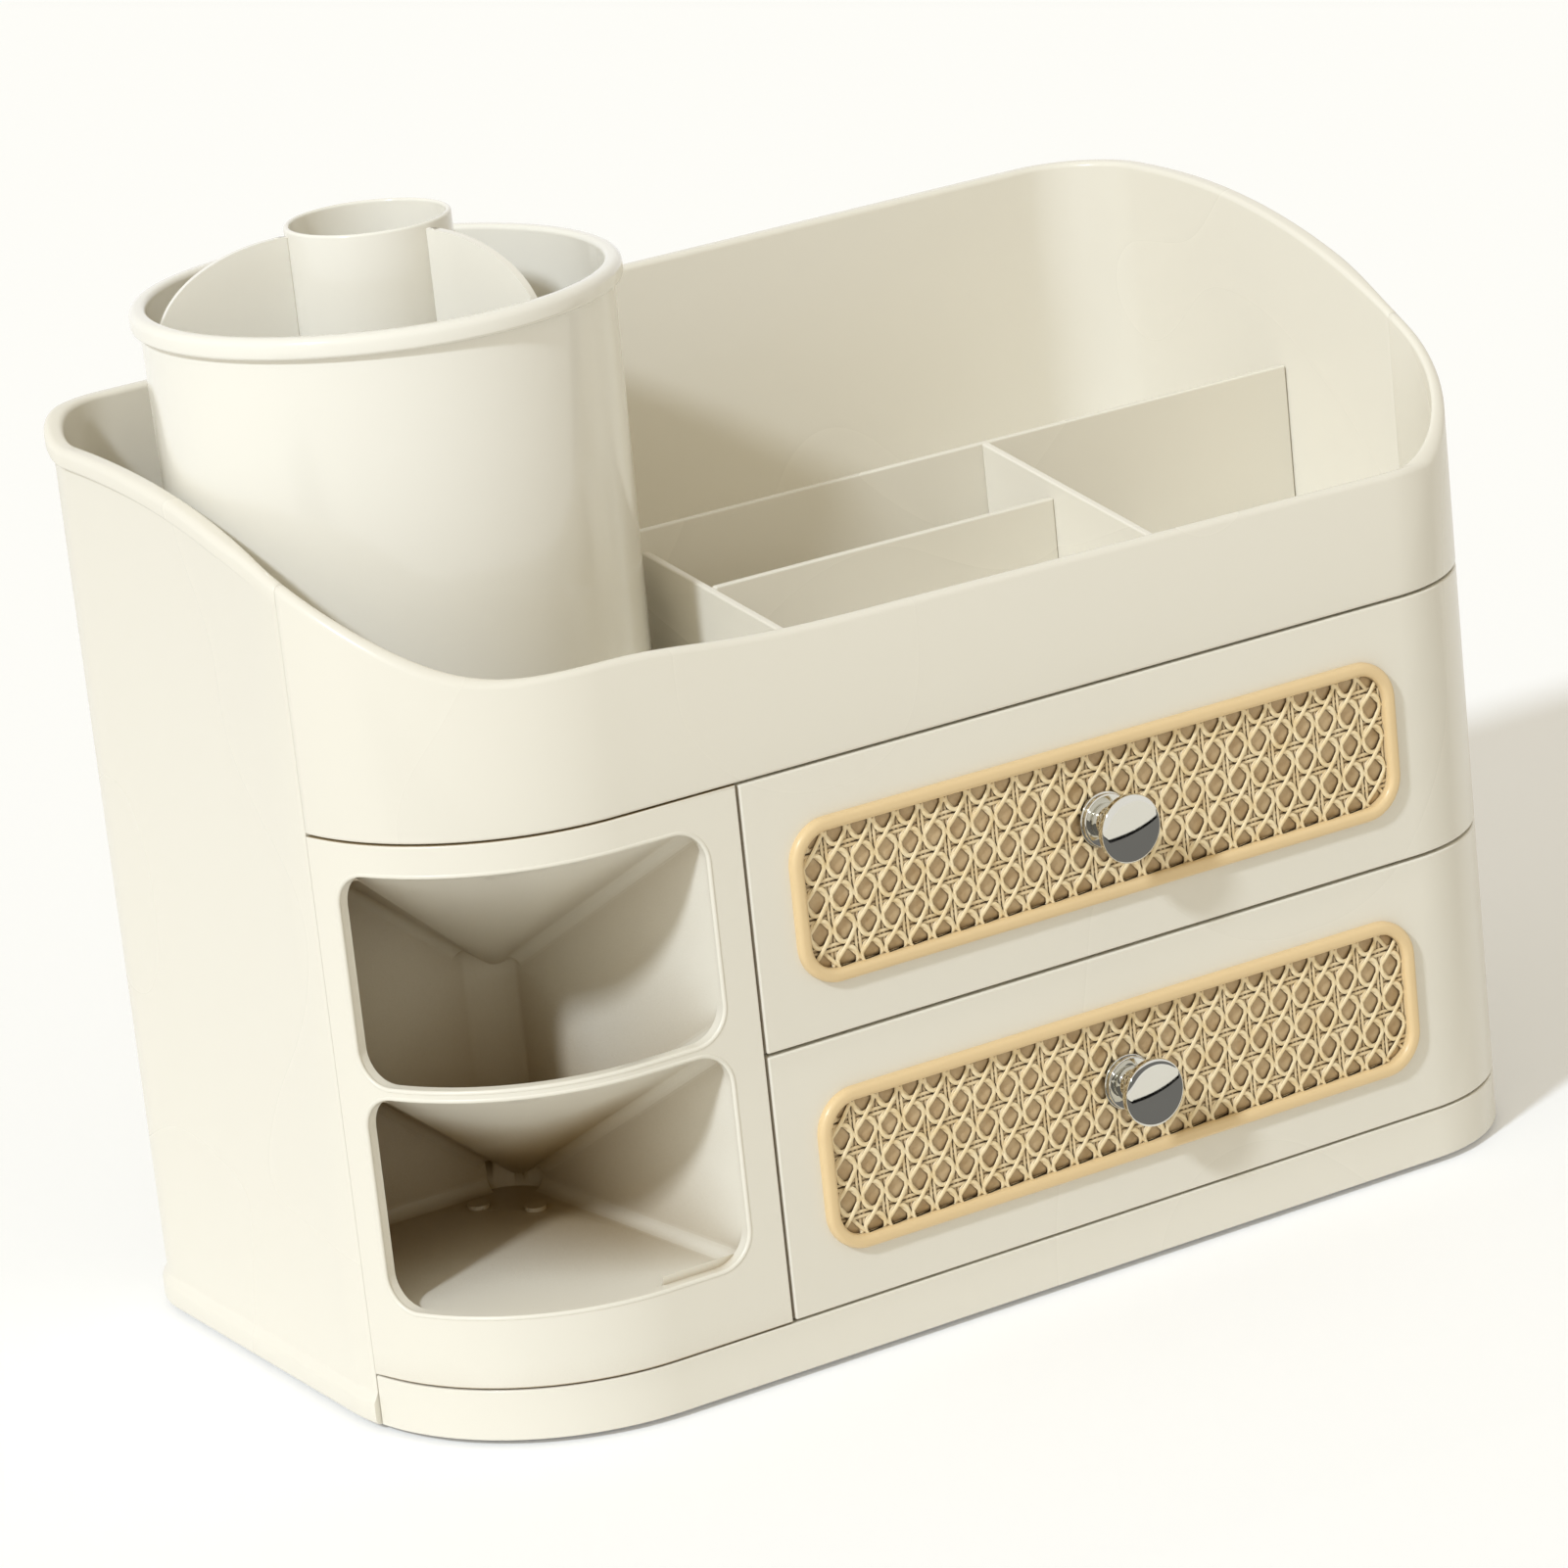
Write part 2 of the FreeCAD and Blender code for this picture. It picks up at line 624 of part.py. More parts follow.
def make_bay_wall():
    """Wall between the corner moulding and the drawers, with a ledge and two screw bosses."""
    body = new_body("bay_wall")
    sketch = new_sketch(body)
    back = s.case_depth - s.case_wall - s.fit_gap
    rectangle(sketch, BAY_LEFT, BAY_FRONT, BAY_RIGHT, back)
    pad(body, sketch, TRAY_UNDER - PLATE_TOP)
    ledge = new_sketch(body, "XY_Plane", DECK_TOP - s.deck_sheet - s.ledge_height - PLATE_TOP)
    rectangle(ledge, BAY_RIGHT - s.bay_sheet / 2, BAY_FRONT + s.ledge_height,
              BAY_RIGHT + s.ledge_reach, back)
    pad(body, ledge, s.ledge_height)
    for depth in BAY_SCREW_DEPTHS:
        boss = new_sketch(body)
        circle(boss, BAY_SCREW_WIDTH, depth, s.boss_radius)
        pad(body, boss, s.boss_height)
        hole = new_sketch(body, "XY_Plane", s.boss_height - s.case_wall)
        circle(hole, BAY_SCREW_WIDTH, depth, s.screw_radius + s.hole_clearance)
        doc.recompute()
        pocket(body, hole, s.boss_height)
    keep(body, "bay_wall", z=PLATE_TOP)


def make_drawer_deck():
    """Shelf between the drawers, on the ledges of the bay wall and the shell."""
    body = new_body("drawer_deck")
    sketch = new_sketch(body)
    right = s.case_width - s.case_wall - s.seam_gap
    rectangle(sketch, BAY_RIGHT, BAY_FRONT, right, s.case_depth - s.case_wall - s.fit_gap,
              (None, s.right_corner - BAY_FRONT, s.back_corner - s.case_wall, None))
    pad(body, sketch, s.deck_sheet)
    keep(body, "drawer_deck", z=DECK_TOP - s.deck_sheet)


# Corner moulding

def pocket_wire(rounded):
    """Plan of the corner pockets, inside the moulding's skin."""
    corner = float(s.left_corner)
    radius = corner - float(s.case_wall)
    left = float(s.case_wall + s.slide_gap + s.cubby_sheet)
    depth = float(s.cubby_depth)
    wall = float(s.case_wall)
    across = corner - left
    meet = corner - math.sqrt(radius * radius - across * across)
    turn = math.pi + math.acos(across / radius)
    front_right = Vector(float(OPENING_RIGHT), wall, 0)
    back_right = Vector(float(POCKET_RIGHT), depth, 0)
    edges = [
        plan_line(left, depth, left, meet),
        plan_arc(corner, corner, radius, turn, 1.5 * math.pi),
        plan_line(corner, wall, front_right.x, front_right.y),
    ]
    if not rounded:
        edges.append(Part.LineSegment(front_right, back_right).toShape())
        edges.append(Part.LineSegment(back_right, Vector(left, depth, 0)).toShape())
        return Part.Wire(Part.__sortEdges__(edges))
    up = (back_right - front_right).normalize()
    corner_turn = math.acos(up.x)
    reach = float(s.cubby_back_round) * math.tan(corner_turn / 2)
    start = back_right - up * reach
    end = back_right - Vector(reach, 0, 0)
    centre = Vector(start.x - up.y * float(s.cubby_back_round),
                    start.y + up.x * float(s.cubby_back_round), 0)
    middle = centre + (back_right - centre).normalize() * float(s.cubby_back_round)
    edges.append(Part.LineSegment(front_right, start).toShape())
    edges.append(Part.Arc(start, middle, end).toShape())
    edges.append(Part.LineSegment(end, Vector(left, depth, 0)).toShape())
    return Part.Wire(Part.__sortEdges__(edges))


def funnel(level):
    """Space over a pocket's sloping sheet: level round the front, deepest in the back corner."""
    wire = pocket_wire(False)
    wire.translate(Vector(0, 0, float(level)))
    tip = Vector(float(POCKET_RIGHT), float(s.cubby_depth), float(level - POCKET_DROP))
    return Part.makeLoft([wire, Part.Vertex(tip)], True, True)


def opening_cutter(low, high):
    """One pocket's opening through the skin, with rounded corners."""
    corner = float(s.left_corner)
    inner = corner - float(s.case_wall)
    outer = corner + ABOVE
    turn = math.pi + math.radians(float(s.cubby_opening_turn))
    near = Vector(corner + inner * math.cos(turn), corner + inner * math.sin(turn), 0)
    far = Vector(corner + outer * math.cos(turn), corner + outer * math.sin(turn), 0)
    right = float(OPENING_RIGHT)
    wall = float(s.case_wall)
    edges = [
        Part.LineSegment(near, far).toShape(),
        plan_line(far.x, far.y, far.x, -ABOVE),
        plan_line(far.x, -ABOVE, right, -ABOVE),
        plan_line(right, -ABOVE, right, wall),
        plan_line(right, wall, corner, wall),
        plan_arc(corner, corner, inner, 1.5 * math.pi, turn),
    ]
    block = prism(Part.Wire(Part.__sortEdges__(edges)), low, high)
    spots = ((near + far) * 0.5, Vector(right, (wall - ABOVE) / 2, 0))
    rounded = []
    for edge in block.Edges:
        middle = edge.CenterOfMass
        level = min(abs(middle.z - float(low)), abs(middle.z - float(high))) < NEAR
        if level and any((Vector(middle.x, middle.y, 0) - spot).Length < NEAR for spot in spots):
            rounded.append(edge)
    return block.makeFillet(float(s.cubby_round), rounded)


def make_corner_cubby():
    """Corner moulding: curved skin, two openings and two pockets with sloping sheets."""
    corner, wall = float(s.left_corner), float(s.case_wall)
    width = float(s.cubby_width)
    low, high = float(PLATE_TOP), float(TRAY_UNDER)
    sheet = float(s.cubby_sheet)
    skin = prism(strip_wire(front_path(0), front_path(-wall)), low, high)
    skin = skin.common(slab((-ABOVE, width), (-ABOVE, corner), (low - OVERLAP, high + OVERLAP)))
    liner = -wall - float(s.slide_gap)
    start = left_turn(liner, float(LEFT_PARTING - s.seam_gap / 2))
    mid = corner - wall / 2
    back = float(s.cubby_depth) + sheet
    rim = [Vector(corner + radius * math.cos(start), corner + radius * math.sin(start), 0)
           for radius in (corner + liner, mid)]
    edges = [
        plan_line(-liner, back, -liner, corner),
        plan_arc(corner, corner, corner + liner, math.pi, start),
        Part.LineSegment(rim[0], rim[1]).toShape(),
        plan_arc(corner, corner, mid, start, 1.5 * math.pi),
        plan_line(corner, wall / 2, float(OPENING_RIGHT) + sheet, wall / 2),
        plan_line(float(OPENING_RIGHT) + sheet, wall / 2,
                  float(POCKET_RIGHT) + sheet, back),
        plan_line(float(POCKET_RIGHT) + sheet, back, -liner, back),
    ]
    block = prism(Part.Wire(Part.__sortEdges__(edges)), low, high)
    flange = slab((width - sheet, width), (wall / 2, wall * 3), (low, high))
    solid = skin.fuse([block, flange])
    plan = pocket_wire(True)
    upper = prism(plan, UPPER_SILL, UPPER_HEAD).fuse(
        funnel(UPPER_SILL).common(prism(plan, low, UPPER_HEAD)))
    upper = upper.cut(funnel(UPPER_HEAD))
    lower = prism(plan, POCKET_FLOOR, LOWER_HEAD).cut(funnel(LOWER_HEAD))
    over = UPPER_HEAD + s.cubby_sheet
    above = prism(plan, over, high + OVERLAP).fuse(
        funnel(over).common(prism(plan, low, over)))
    under = prism(plan, low - OVERLAP, POCKET_FLOOR - s.cubby_sheet)
    solid = solid.cut([upper, lower, above, under])
    solid = solid.cut([opening_cutter(LOWER_SILL, LOWER_HEAD), opening_cutter(UPPER_SILL, UPPER_HEAD)])
    studs = [disc(POCKET_RIGHT - aside, s.cubby_depth - back, s.cubby_stud_radius,
                  POCKET_FLOOR - s.cubby_sheet / 2, POCKET_FLOOR + s.cubby_stud_height)
             for back, aside in STUDS]
    keep_shape(solid.fuse(studs).removeSplitter(), "corner_cubby")


# Tray

def make_top_tray():
    """Tray floor with the front band, whose two corners swoop up to the side panels."""
    wall = float(s.case_wall)
    left, right, width = float(s.left_corner), float(s.right_corner), float(s.case_width)
    top = max(float(s.left_back_rim), float(s.right_back_rim)) + ABOVE
    seam = s.upper_seam + s.seam_gap / 2
    floor = prism(whole_outline(-wall - float(s.fit_gap)), TRAY_UNDER, TRAY_TOP)
    root = prism(strip_wire(front_path(-wall / 2), front_path(-wall - OVERLAP)), seam, TRAY_TOP)
    band = prism(strip_wire(front_path(0), front_path(-wall)), seam, top)
    level = top + OVERLAP
    band = band.cut([side_cutter("left", -ABOVE, left, level),
                     side_cutter("right", width - right, width + ABOVE, level),
                     front_cutter(level)])
    tray = floor.fuse([root, band])
    pin_hole = disc(CUP_WIDTH, CUP_DEPTH, s.pivot_radius + s.hole_clearance,
                    TRAY_UNDER - OVERLAP, TRAY_TOP + OVERLAP)
    keep_shape(tray.cut(pin_hole).removeSplitter(), "top_tray")


def make_plate(name, role, corners, x, y):
    """A divider standing on the tray: its side outline, thickened both ways."""
    body = new_body(name)
    sketch = new_sketch(body, role)
    trace(sketch, corners)
    pad(body, sketch, s.divider_sheet, True)
    keep(body, name, x, y, TRAY_TOP)


def make_dividers():
    half = s.divider_sheet / 2
    left = CUP_WIDTH + CUP_TOP_RADIUS + s.left_cross_gap + half
    right = s.case_width - s.right_cross_run
    wall_right = s.case_width - s.case_wall - s.fit_gap
    front = s.case_wall + s.fit_gap
    tall = s.divider_height
    make_plate("long_divider", "XZ_Plane",
               [(left - half, ZERO), (wall_right, ZERO), (wall_right, tall), (left - half, tall)],
               ZERO, s.long_divider_depth)
    rear = s.long_divider_depth - half
    for name, x, front_height, rear_height in (
            ("left_cross_divider", left, s.left_cross_front_height, s.left_cross_height),
            ("right_cross_divider", right, s.right_cross_front_height, tall)):
        make_plate(name, "YZ_Plane",
                   [(front, ZERO), (rear, ZERO), (rear, rear_height), (front, front_height)],
                   x, ZERO)
    high = s.middle_divider_height
    make_plate("middle_divider", "XZ_Plane",
               [(left + half, ZERO), (right - half, ZERO), (right - half, high), (left + half, high)],
               ZERO, s.middle_divider_depth)


# Cup with its turning seat, and the insert

def make_cup_seat():
    """Pin, washer and screw that hold the cup, and the ring that it glides on."""
    bore = s.pivot_flange_height
    shoulder = s.glide_height + s.slide_gap + s.cup_floor + s.slide_gap
    hollow = s.pivot_screw_radius + s.hole_clearance
    bottom = shoulder + s.washer_height - s.pivot_screw_length - s.hole_clearance
    pin_body = turned("cup_pivot", [
        (ZERO, -s.tray_sheet), (s.pivot_radius, -s.tray_sheet), (s.pivot_radius, ZERO),
        (s.pivot_flange, ZERO), (s.pivot_flange, bore), (s.pivot_radius, bore),
        (s.pivot_radius, shoulder), (hollow, shoulder), (hollow, bottom), (ZERO, bottom)])
    keep(pin_body, "cup_pivot", CUP_WIDTH, CUP_DEPTH, TRAY_TOP)
    washer = turned("pivot_washer", [
        (hollow, ZERO), (s.washer_radius, ZERO), (s.washer_radius, s.washer_height),
        (hollow, s.washer_height)])
    keep(washer, "pivot_washer", CUP_WIDTH, CUP_DEPTH, TRAY_TOP + shoulder)
    head_round = s.pivot_head_height / 2
    screw = turned("pivot_screw", [
        (ZERO, -s.pivot_screw_length), (s.pivot_screw_radius, -s.pivot_screw_length),
        (s.pivot_screw_radius, ZERO), (s.pivot_head_radius, ZERO),
        (s.pivot_head_radius, s.pivot_head_height - head_round),
        (s.pivot_head_radius - head_round, s.pivot_head_height, head_round),
        (ZERO, s.pivot_head_height)])
    keep(screw, "pivot_screw", CUP_WIDTH, CUP_DEPTH, TRAY_TOP + shoulder + s.washer_height)
    ring = turned("cup_glide_ring", [
        (s.glide_radius - s.glide_band / 2, ZERO), (s.glide_radius + s.glide_band / 2, ZERO),
        (s.glide_radius + s.glide_band / 2, s.glide_height),
        (s.glide_radius - s.glide_band / 2, s.glide_height)])
    keep(ring, "cup_glide_ring", CUP_WIDTH, CUP_DEPTH, TRAY_TOP)


def make_brush_cup():
    """Round cup, a little wider at the top, with a rolled lip."""
    tall = s.cup_top - CUP_UNDER
    groove = tall - s.lip_height
    lip, turn = CUP_TOP_RADIUS + s.lip_reach, s.lip_round
    inner_top = CUP_TOP_RADIUS - s.cup_sheet
    cup = turned("brush_cup", [
        (s.pivot_radius + s.running_gap, ZERO), (s.cup_base_radius - s.cup_edge, ZERO),
        (s.cup_base_radius, s.cup_edge, s.cup_edge), (CUP_TOP_RADIUS, groove),
        (lip, groove), (lip, tall - turn), (lip - turn, tall, turn),
        (inner_top + turn / 2, tall), (inner_top, tall - turn / 2, turn / 2),
        (s.cup_base_radius - s.cup_sheet, s.cup_floor + s.cup_edge),
        (s.cup_base_radius - s.cup_sheet - s.cup_edge, s.cup_floor, -s.cup_edge),
        (s.pivot_radius + s.running_gap, s.cup_floor)])
    keep(cup, "brush_cup", CUP_WIDTH, CUP_DEPTH, CUP_UNDER)


INSERT_UNDER = CUP_UNDER + s.cup_floor + s.slide_gap


def make_insert():
    """Centre tube with three wings whose tops sweep down to the cup's wall."""
    inner = s.tube_radius - s.tube_sheet
    tall = s.cup_top + s.tube_rise - INSERT_UNDER
    tube = turned("insert_tube", [
        (ZERO, s.tube_floor), (inner, s.tube_floor), (inner, ZERO), (s.tube_radius, ZERO),
        (s.tube_radius, tall), (inner, tall), (inner, s.tube_floor + s.tube_sheet),
        (ZERO, s.tube_floor + s.tube_sheet)])
    keep(tube, "insert_tube", CUP_WIDTH, CUP_DEPTH, INSERT_UNDER)
    for index, place in enumerate(WINGS):
        make_wing("insert_wing_" + place, (index * 2 + 1) * 180 / len(WINGS) - float(s.wing_turn))


def make_wing(name, turn):
    """One wing of the insert, drawn along X beside the cup's axis and turned to its place."""
    root = float(s.tube_radius)
    low = float(INSERT_UNDER)
    tip_top, root_top = float(s.cup_top - s.wing_tip_drop), float(s.cup_top + s.wing_root_rise)
    taper = float(s.cup_draft) / float(s.cup_top - CUP_UNDER)
    reach = float(s.cup_base_radius - s.cup_sheet - s.wing_gap)
    edge = float(s.cup_edge)
    far = reach + taper * (tip_top - float(CUP_UNDER))
    side = -float(s.wing_sheet) / 2
    centre = Vector(root, side, tip_top)
    across = centre + Vector(far - root, 0, 0)
    up = centre + Vector(0, 0, root_top - tip_top)
    oval = Part.Ellipse(across, up, centre)
    if far - root < root_top - tip_top:
        oval = Part.Ellipse(up, across, centre)
    top = Part.ArcOfEllipse(oval, 0, math.pi / 2).toShape()
    spots = [Vector(x, side, z) for x, z in (
        (root, root_top), (root, low), (reach - edge, low), (reach, low + edge), (far, tip_top))]
    outline = [Part.LineSegment(*pair).toShape() for pair in zip(spots, spots[1:])]
    face = Part.Face(Part.Wire(Part.__sortEdges__(outline + [top])))
    piece = doc.addObject("Part::Feature", name)
    piece.Shape = face.extrude(Vector(0, -2 * side, 0))
    keep(piece, name, CUP_WIDTH, CUP_DEPTH, ZERO, Rotation(Vector(0, 0, 1), turn))


# Drawers

BOX_LIFT = s.seam_gap / 2 + s.slide_gap - s.drawer_gap / 2
PANEL_HEIGHTS = {
    "lower": (s.plinth_seam + s.drawer_gap / 2, s.middle_seam - s.drawer_gap / 2),
    "upper": (s.middle_seam + s.drawer_gap / 2, s.upper_seam - s.drawer_gap / 2),
}
CANE_FRONT = s.cane_recess - s.cane_sheet


def make_drawer(level):
    low, high = PANEL_HEIGHTS[level]
    middle = (high - low) / 2
    make_drawer_front(level, low, high - low, middle)
    make_drawer_box(level, low, high - low, middle)
    make_drawer_trim(level, low, middle)
    make_knob(level, low + middle)


def make_drawer_front(level, low, tall, middle):
    """Front panel that wraps the case's right corner, recessed for the cane panel."""
    body = new_body(level + "_drawer_front")
    sketch = new_sketch(body)
    panel, corner, width = s.drawer_panel, s.right_corner, s.case_width
    end = RIGHT_PARTING - s.drawer_gap / 2
    trace(sketch, [
        (BAY_LEFT, ZERO), (width - corner, ZERO), (width, corner, corner), (width, end),
        (width - panel, end), (width - panel, corner),
        (width - corner, panel, panel - corner), (BAY_LEFT, panel)])
    pad(body, sketch, tall)
    doc.recompute()
    recess = new_sketch(body, "XZ_Plane")
    band = s.bezel_band
    rectangle(recess, BEZEL_CENTRE - BEZEL_WIDTH / 2 + band, middle - s.bezel_height / 2 + band,
              BEZEL_CENTRE + BEZEL_WIDTH / 2 - band, middle + s.bezel_height / 2 - band,
              (s.bezel_round - band,) * 4)
    pocket(body, recess, s.cane_recess)
    screw_hole(body, middle, s.drawer_panel * 2)
    keep(body, level + "_drawer_front", z=low)


def screw_hole(body, middle, depth):
    hole = new_sketch(body, "XZ_Plane")
    circle(hole, BEZEL_CENTRE, middle, s.knob_screw_radius + s.hole_clearance)
    pocket(body, hole, depth)


def make_drawer_box(level, low, tall, middle):
    """Open box behind the front panel, rounded where the panel wraps the corner."""
    body = new_body(level + "_drawer_box")
    sketch = new_sketch(body)
    front, sheet = s.drawer_panel, s.box_sheet
    corner = s.right_corner - s.drawer_panel - s.drawer_gap
    rectangle(sketch, BOX_LEFT, front, BOX_RIGHT, BOX_BACK,
              (s.box_round, corner, s.box_round, s.box_round))
    height = tall - s.box_drop
    pad(body, sketch, height)
    inside = new_sketch(body, "XY_Plane", height)
    small = s.box_round - sheet
    rectangle(inside, BOX_LEFT + sheet, front + sheet, BOX_RIGHT - sheet, BOX_BACK - sheet,
              (small, corner - sheet, small, small))
    doc.recompute()
    pocket(body, inside, height - sheet)
    screw_hole(body, middle - BOX_LIFT, s.drawer_panel + s.box_sheet * 2)
    keep(body, level + "_drawer_box", z=low + BOX_LIFT)


def make_drawer_trim(level, low, middle):
    """Cane panel in the front's recess, and the raised bezel around it."""
    wide, tall, band = BEZEL_WIDTH / 2, s.bezel_height / 2, s.bezel_band
    gap = s.fit_gap
    cane = new_body(level + "_cane_panel")
    sketch = new_sketch(cane, "XZ_Plane", -s.cane_recess)
    rectangle(sketch, -wide + band + gap, -tall + band + gap, wide - band - gap, tall - band - gap,
              (s.bezel_round - band - gap,) * 4)
    pad(cane, sketch, s.cane_sheet)
    hole = new_sketch(cane, "XZ_Plane", -CANE_FRONT)
    circle(hole, ZERO, ZERO, s.knob_screw_radius + s.hole_clearance)
    doc.recompute()
    pocket(cane, hole, s.cane_sheet * 2)
    keep(cane, level + "_cane_panel", BEZEL_CENTRE, ZERO, low + middle)
    bezel = new_body(level + "_bezel")
    sketch = new_sketch(bezel, "XZ_Plane")
    rectangle(sketch, -wide, -tall, wide, tall, (s.bezel_round,) * 4)
    rectangle(sketch, -wide + band, -tall + band, wide - band, tall - band,
              (s.bezel_round - band,) * 4)
    raised = pad(bezel, sketch, s.bezel_reach)
    doc.recompute()
    names = ["Edge%d" % (index + 1) for index, edge in enumerate(raised.Shape.Edges)
             if abs(edge.BoundBox.YMax + float(s.bezel_reach)) < NEAR]
    soft = bezel.newObject("PartDesign::Fillet", bezel.Name + "_fillet")
    soft.Base = (raised, names)
    soft.Radius = float(s.bezel_edge)
    soft.setExpression("Radius", s.bezel_edge.text)
    keep(bezel, level + "_bezel", BEZEL_CENTRE, ZERO, low + middle)


def make_knob(level, height):
    """Round knob on a collar, and the screw that holds both from inside the drawer."""
    forward = Rotation(Vector(1, 0, 0), 90)
    hollow = s.knob_screw_radius + s.hole_clearance
    collar_out = s.collar_height - CANE_FRONT
    edge = s.collar_height / 2
    collar = turned(level + "_knob_collar", [
        (hollow, ZERO), (s.collar_radius, ZERO), (s.collar_radius, s.collar_height - edge),
        (s.collar_radius - edge, s.collar_height, edge), (hollow, s.collar_height)])
    keep(collar, level + "_knob_collar", BEZEL_CENTRE, CANE_FRONT, height, forward)
    tall = s.knob_reach - collar_out
    rim, radius, neck = s.knob_rim, s.knob_radius, s.knob_neck
    flare = tall - rim * 1.5
    bevel = rim / 3
    face = radius - bevel
    dome = (face * face + s.knob_dome * s.knob_dome) / (s.knob_dome * 2)
    knob = turned(level + "_knob", [
        (hollow, ZERO), (neck + bevel, ZERO), (neck, tall / 4), (neck, flare - (radius - neck) / 2),
        (radius - bevel, flare), (radius, flare + bevel, bevel), (radius, tall - s.knob_dome - bevel),
        (face, tall - s.knob_dome), (ZERO, tall, dome), (ZERO, s.knob_thread),
        (hollow, s.knob_thread)])
    keep(knob, level + "_knob", BEZEL_CENTRE, -collar_out, height, forward)
    head = s.knob_screw_head
    inside = s.drawer_panel + s.box_sheet
    reach = inside + collar_out + s.knob_thread - s.hole_clearance
    screw = turned(level + "_knob_screw", [
        (ZERO, -head / 2), (head - head / 4, -head / 2), (head, -head / 4, head / 4), (head, ZERO),
        (s.knob_screw_radius, ZERO), (s.knob_screw_radius, reach), (ZERO, reach)])
    keep(screw, level + "_knob_screw", BEZEL_CENTRE, inside, height, forward)


make_outer_shell()
make_base_plate()
make_feet()
make_base_screws()
make_bay_wall()
make_drawer_deck()
make_corner_cubby()
make_top_tray()
make_dividers()
make_cup_seat()
make_brush_cup()
make_insert()
for drawer_level in ("lower", "upper"):
    make_drawer(drawer_level)

doc.recompute()
for item in doc.Objects:
    if "Invalid" in item.State or "Error" in item.State:
        raise RuntimeError("%s is %s" % (item.Name, item.State))
for piece in pieces:
    if piece.Shape.isNull() or not piece.Shape.isValid():
        raise RuntimeError(piece.Label + " has no valid shape")
for piece in pieces:
    piece.Shape.exportStep(os.path.join("parts", piece.Label + ".step"))
    print("%-24s %10.1f mm3 %d solid" % (piece.Label, piece.Shape.Volume, len(piece.Shape.Solids)))
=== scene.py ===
import json
import math

import bmesh
import bpy
from mathutils import Matrix, Vector


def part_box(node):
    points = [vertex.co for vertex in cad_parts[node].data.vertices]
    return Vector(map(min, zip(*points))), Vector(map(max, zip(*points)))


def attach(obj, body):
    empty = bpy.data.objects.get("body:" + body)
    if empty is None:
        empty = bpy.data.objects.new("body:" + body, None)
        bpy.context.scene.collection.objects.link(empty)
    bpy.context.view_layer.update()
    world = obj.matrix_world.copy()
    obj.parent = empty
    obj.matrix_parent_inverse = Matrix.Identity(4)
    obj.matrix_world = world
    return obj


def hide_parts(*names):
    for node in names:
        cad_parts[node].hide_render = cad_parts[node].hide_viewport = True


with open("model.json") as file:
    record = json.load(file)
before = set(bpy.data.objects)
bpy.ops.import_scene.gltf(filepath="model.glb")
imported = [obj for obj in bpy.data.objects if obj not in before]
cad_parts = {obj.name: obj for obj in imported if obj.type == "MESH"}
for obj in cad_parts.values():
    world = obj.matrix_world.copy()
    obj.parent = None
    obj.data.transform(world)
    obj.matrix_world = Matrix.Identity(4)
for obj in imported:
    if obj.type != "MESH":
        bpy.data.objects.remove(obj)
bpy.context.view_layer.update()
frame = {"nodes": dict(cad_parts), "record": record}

# Looks of the makeup organizer. Shapes are worked out in millimetres from the case's
# left side, its front face and the table, and put() takes them to the row frame.

FRONT_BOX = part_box("upper_drawer_front")
WIDTH, DEPTH, WALL = 300.0, 164.0, 3.0
CASE_LEFT = FRONT_BOX[1].x * 1000 - WIDTH
CASE_FRONT = FRONT_BOX[0].y * 1000
LEFT_ROUND, RIGHT_ROUND, BACK_ROUND = 54.0, 35.0, 22.0
LEFT_PARTING, RIGHT_PARTING = 44.0, 39.0
FOOT, PLATE_TOP, UPPER_SEAM = 1.5, 13.9, 140.6
TRAY_UNDER, TRAY_TOP = 140.2, 143.0
CUP_X, CUP_Y, CUP_UNDER, CUP_TOP = 58.5, 91.5, 144.6, 246.4
INSERT_UNDER, WING_TURN = 147.3, 13
BEZEL_X, BEZEL_HALF, BEZEL_RISE = 178.3, 81.5, 17.7
BEZEL_ROUND = 8.5
CANE_HALF, CANE_RISE, CANE_ROUND = 79.9, 16.1, 6.9
COLUMNS, ROW_PITCH = 25, 7.6
PITCH = 2 * CANE_HALF / COLUMNS
STRAND_BASE, CANE_BACKING, PANEL_INSET = -0.25, 0.55, 0.05
KNOB_SEAT, COLLAR_SEAT = 2.4, 0.4
DRAWERS = {"lower": 45.35, "upper": 108.7}
SEAM, TIP = 0.02, 0.15
LIP, LIP_BITE, LIP_SIDES, COVE, COVE_STEPS = 0.62, 0.42, 12, 3.2, 8
MERGE, WELD, FLAT_ANGLE, EDGE_ANGLE = 1e-6, 1e-5, 0.4, 25.0
CREAM_COLOUR = (0.80, 0.76, 0.66)
SHADE_SAMPLES = 8

# Photograph's side in pixels, its focal length in them, and the camera found from it in metres and degrees
PHOTO_SIDE, FOCAL_PIXELS, SENSOR = 1601, 6500, 36
CAMERA_PLACE = (-0.72428, -1.22725, 0.54705)
CAMERA_AZIMUTH, CAMERA_RISE, CAMERA_ROLL = -30.23, 17.09, -6.08

# Key lamp and sky: colours, strengths and the ways that they run or face
KEY_ENERGY, KEY_COLOUR, KEY_ANGLE, KEY_WAY = 2.1, (0.80, 0.885, 1.0), 5, (0.72, 0.32, -0.616)
SKY_COLOUR, SKY_WAY, SKY_DIM, SKY_BRIGHT = (1.0, 0.93, 0.77, 1), (-0.62, -0.50, 0.60), 0.26, 0.80
FLOOR_CENTRE, FLOOR_RINGS, FLOOR_STEPS, FLOOR_GLOW = (150, 80), (0.01, 400, 2500), 64, 0.14

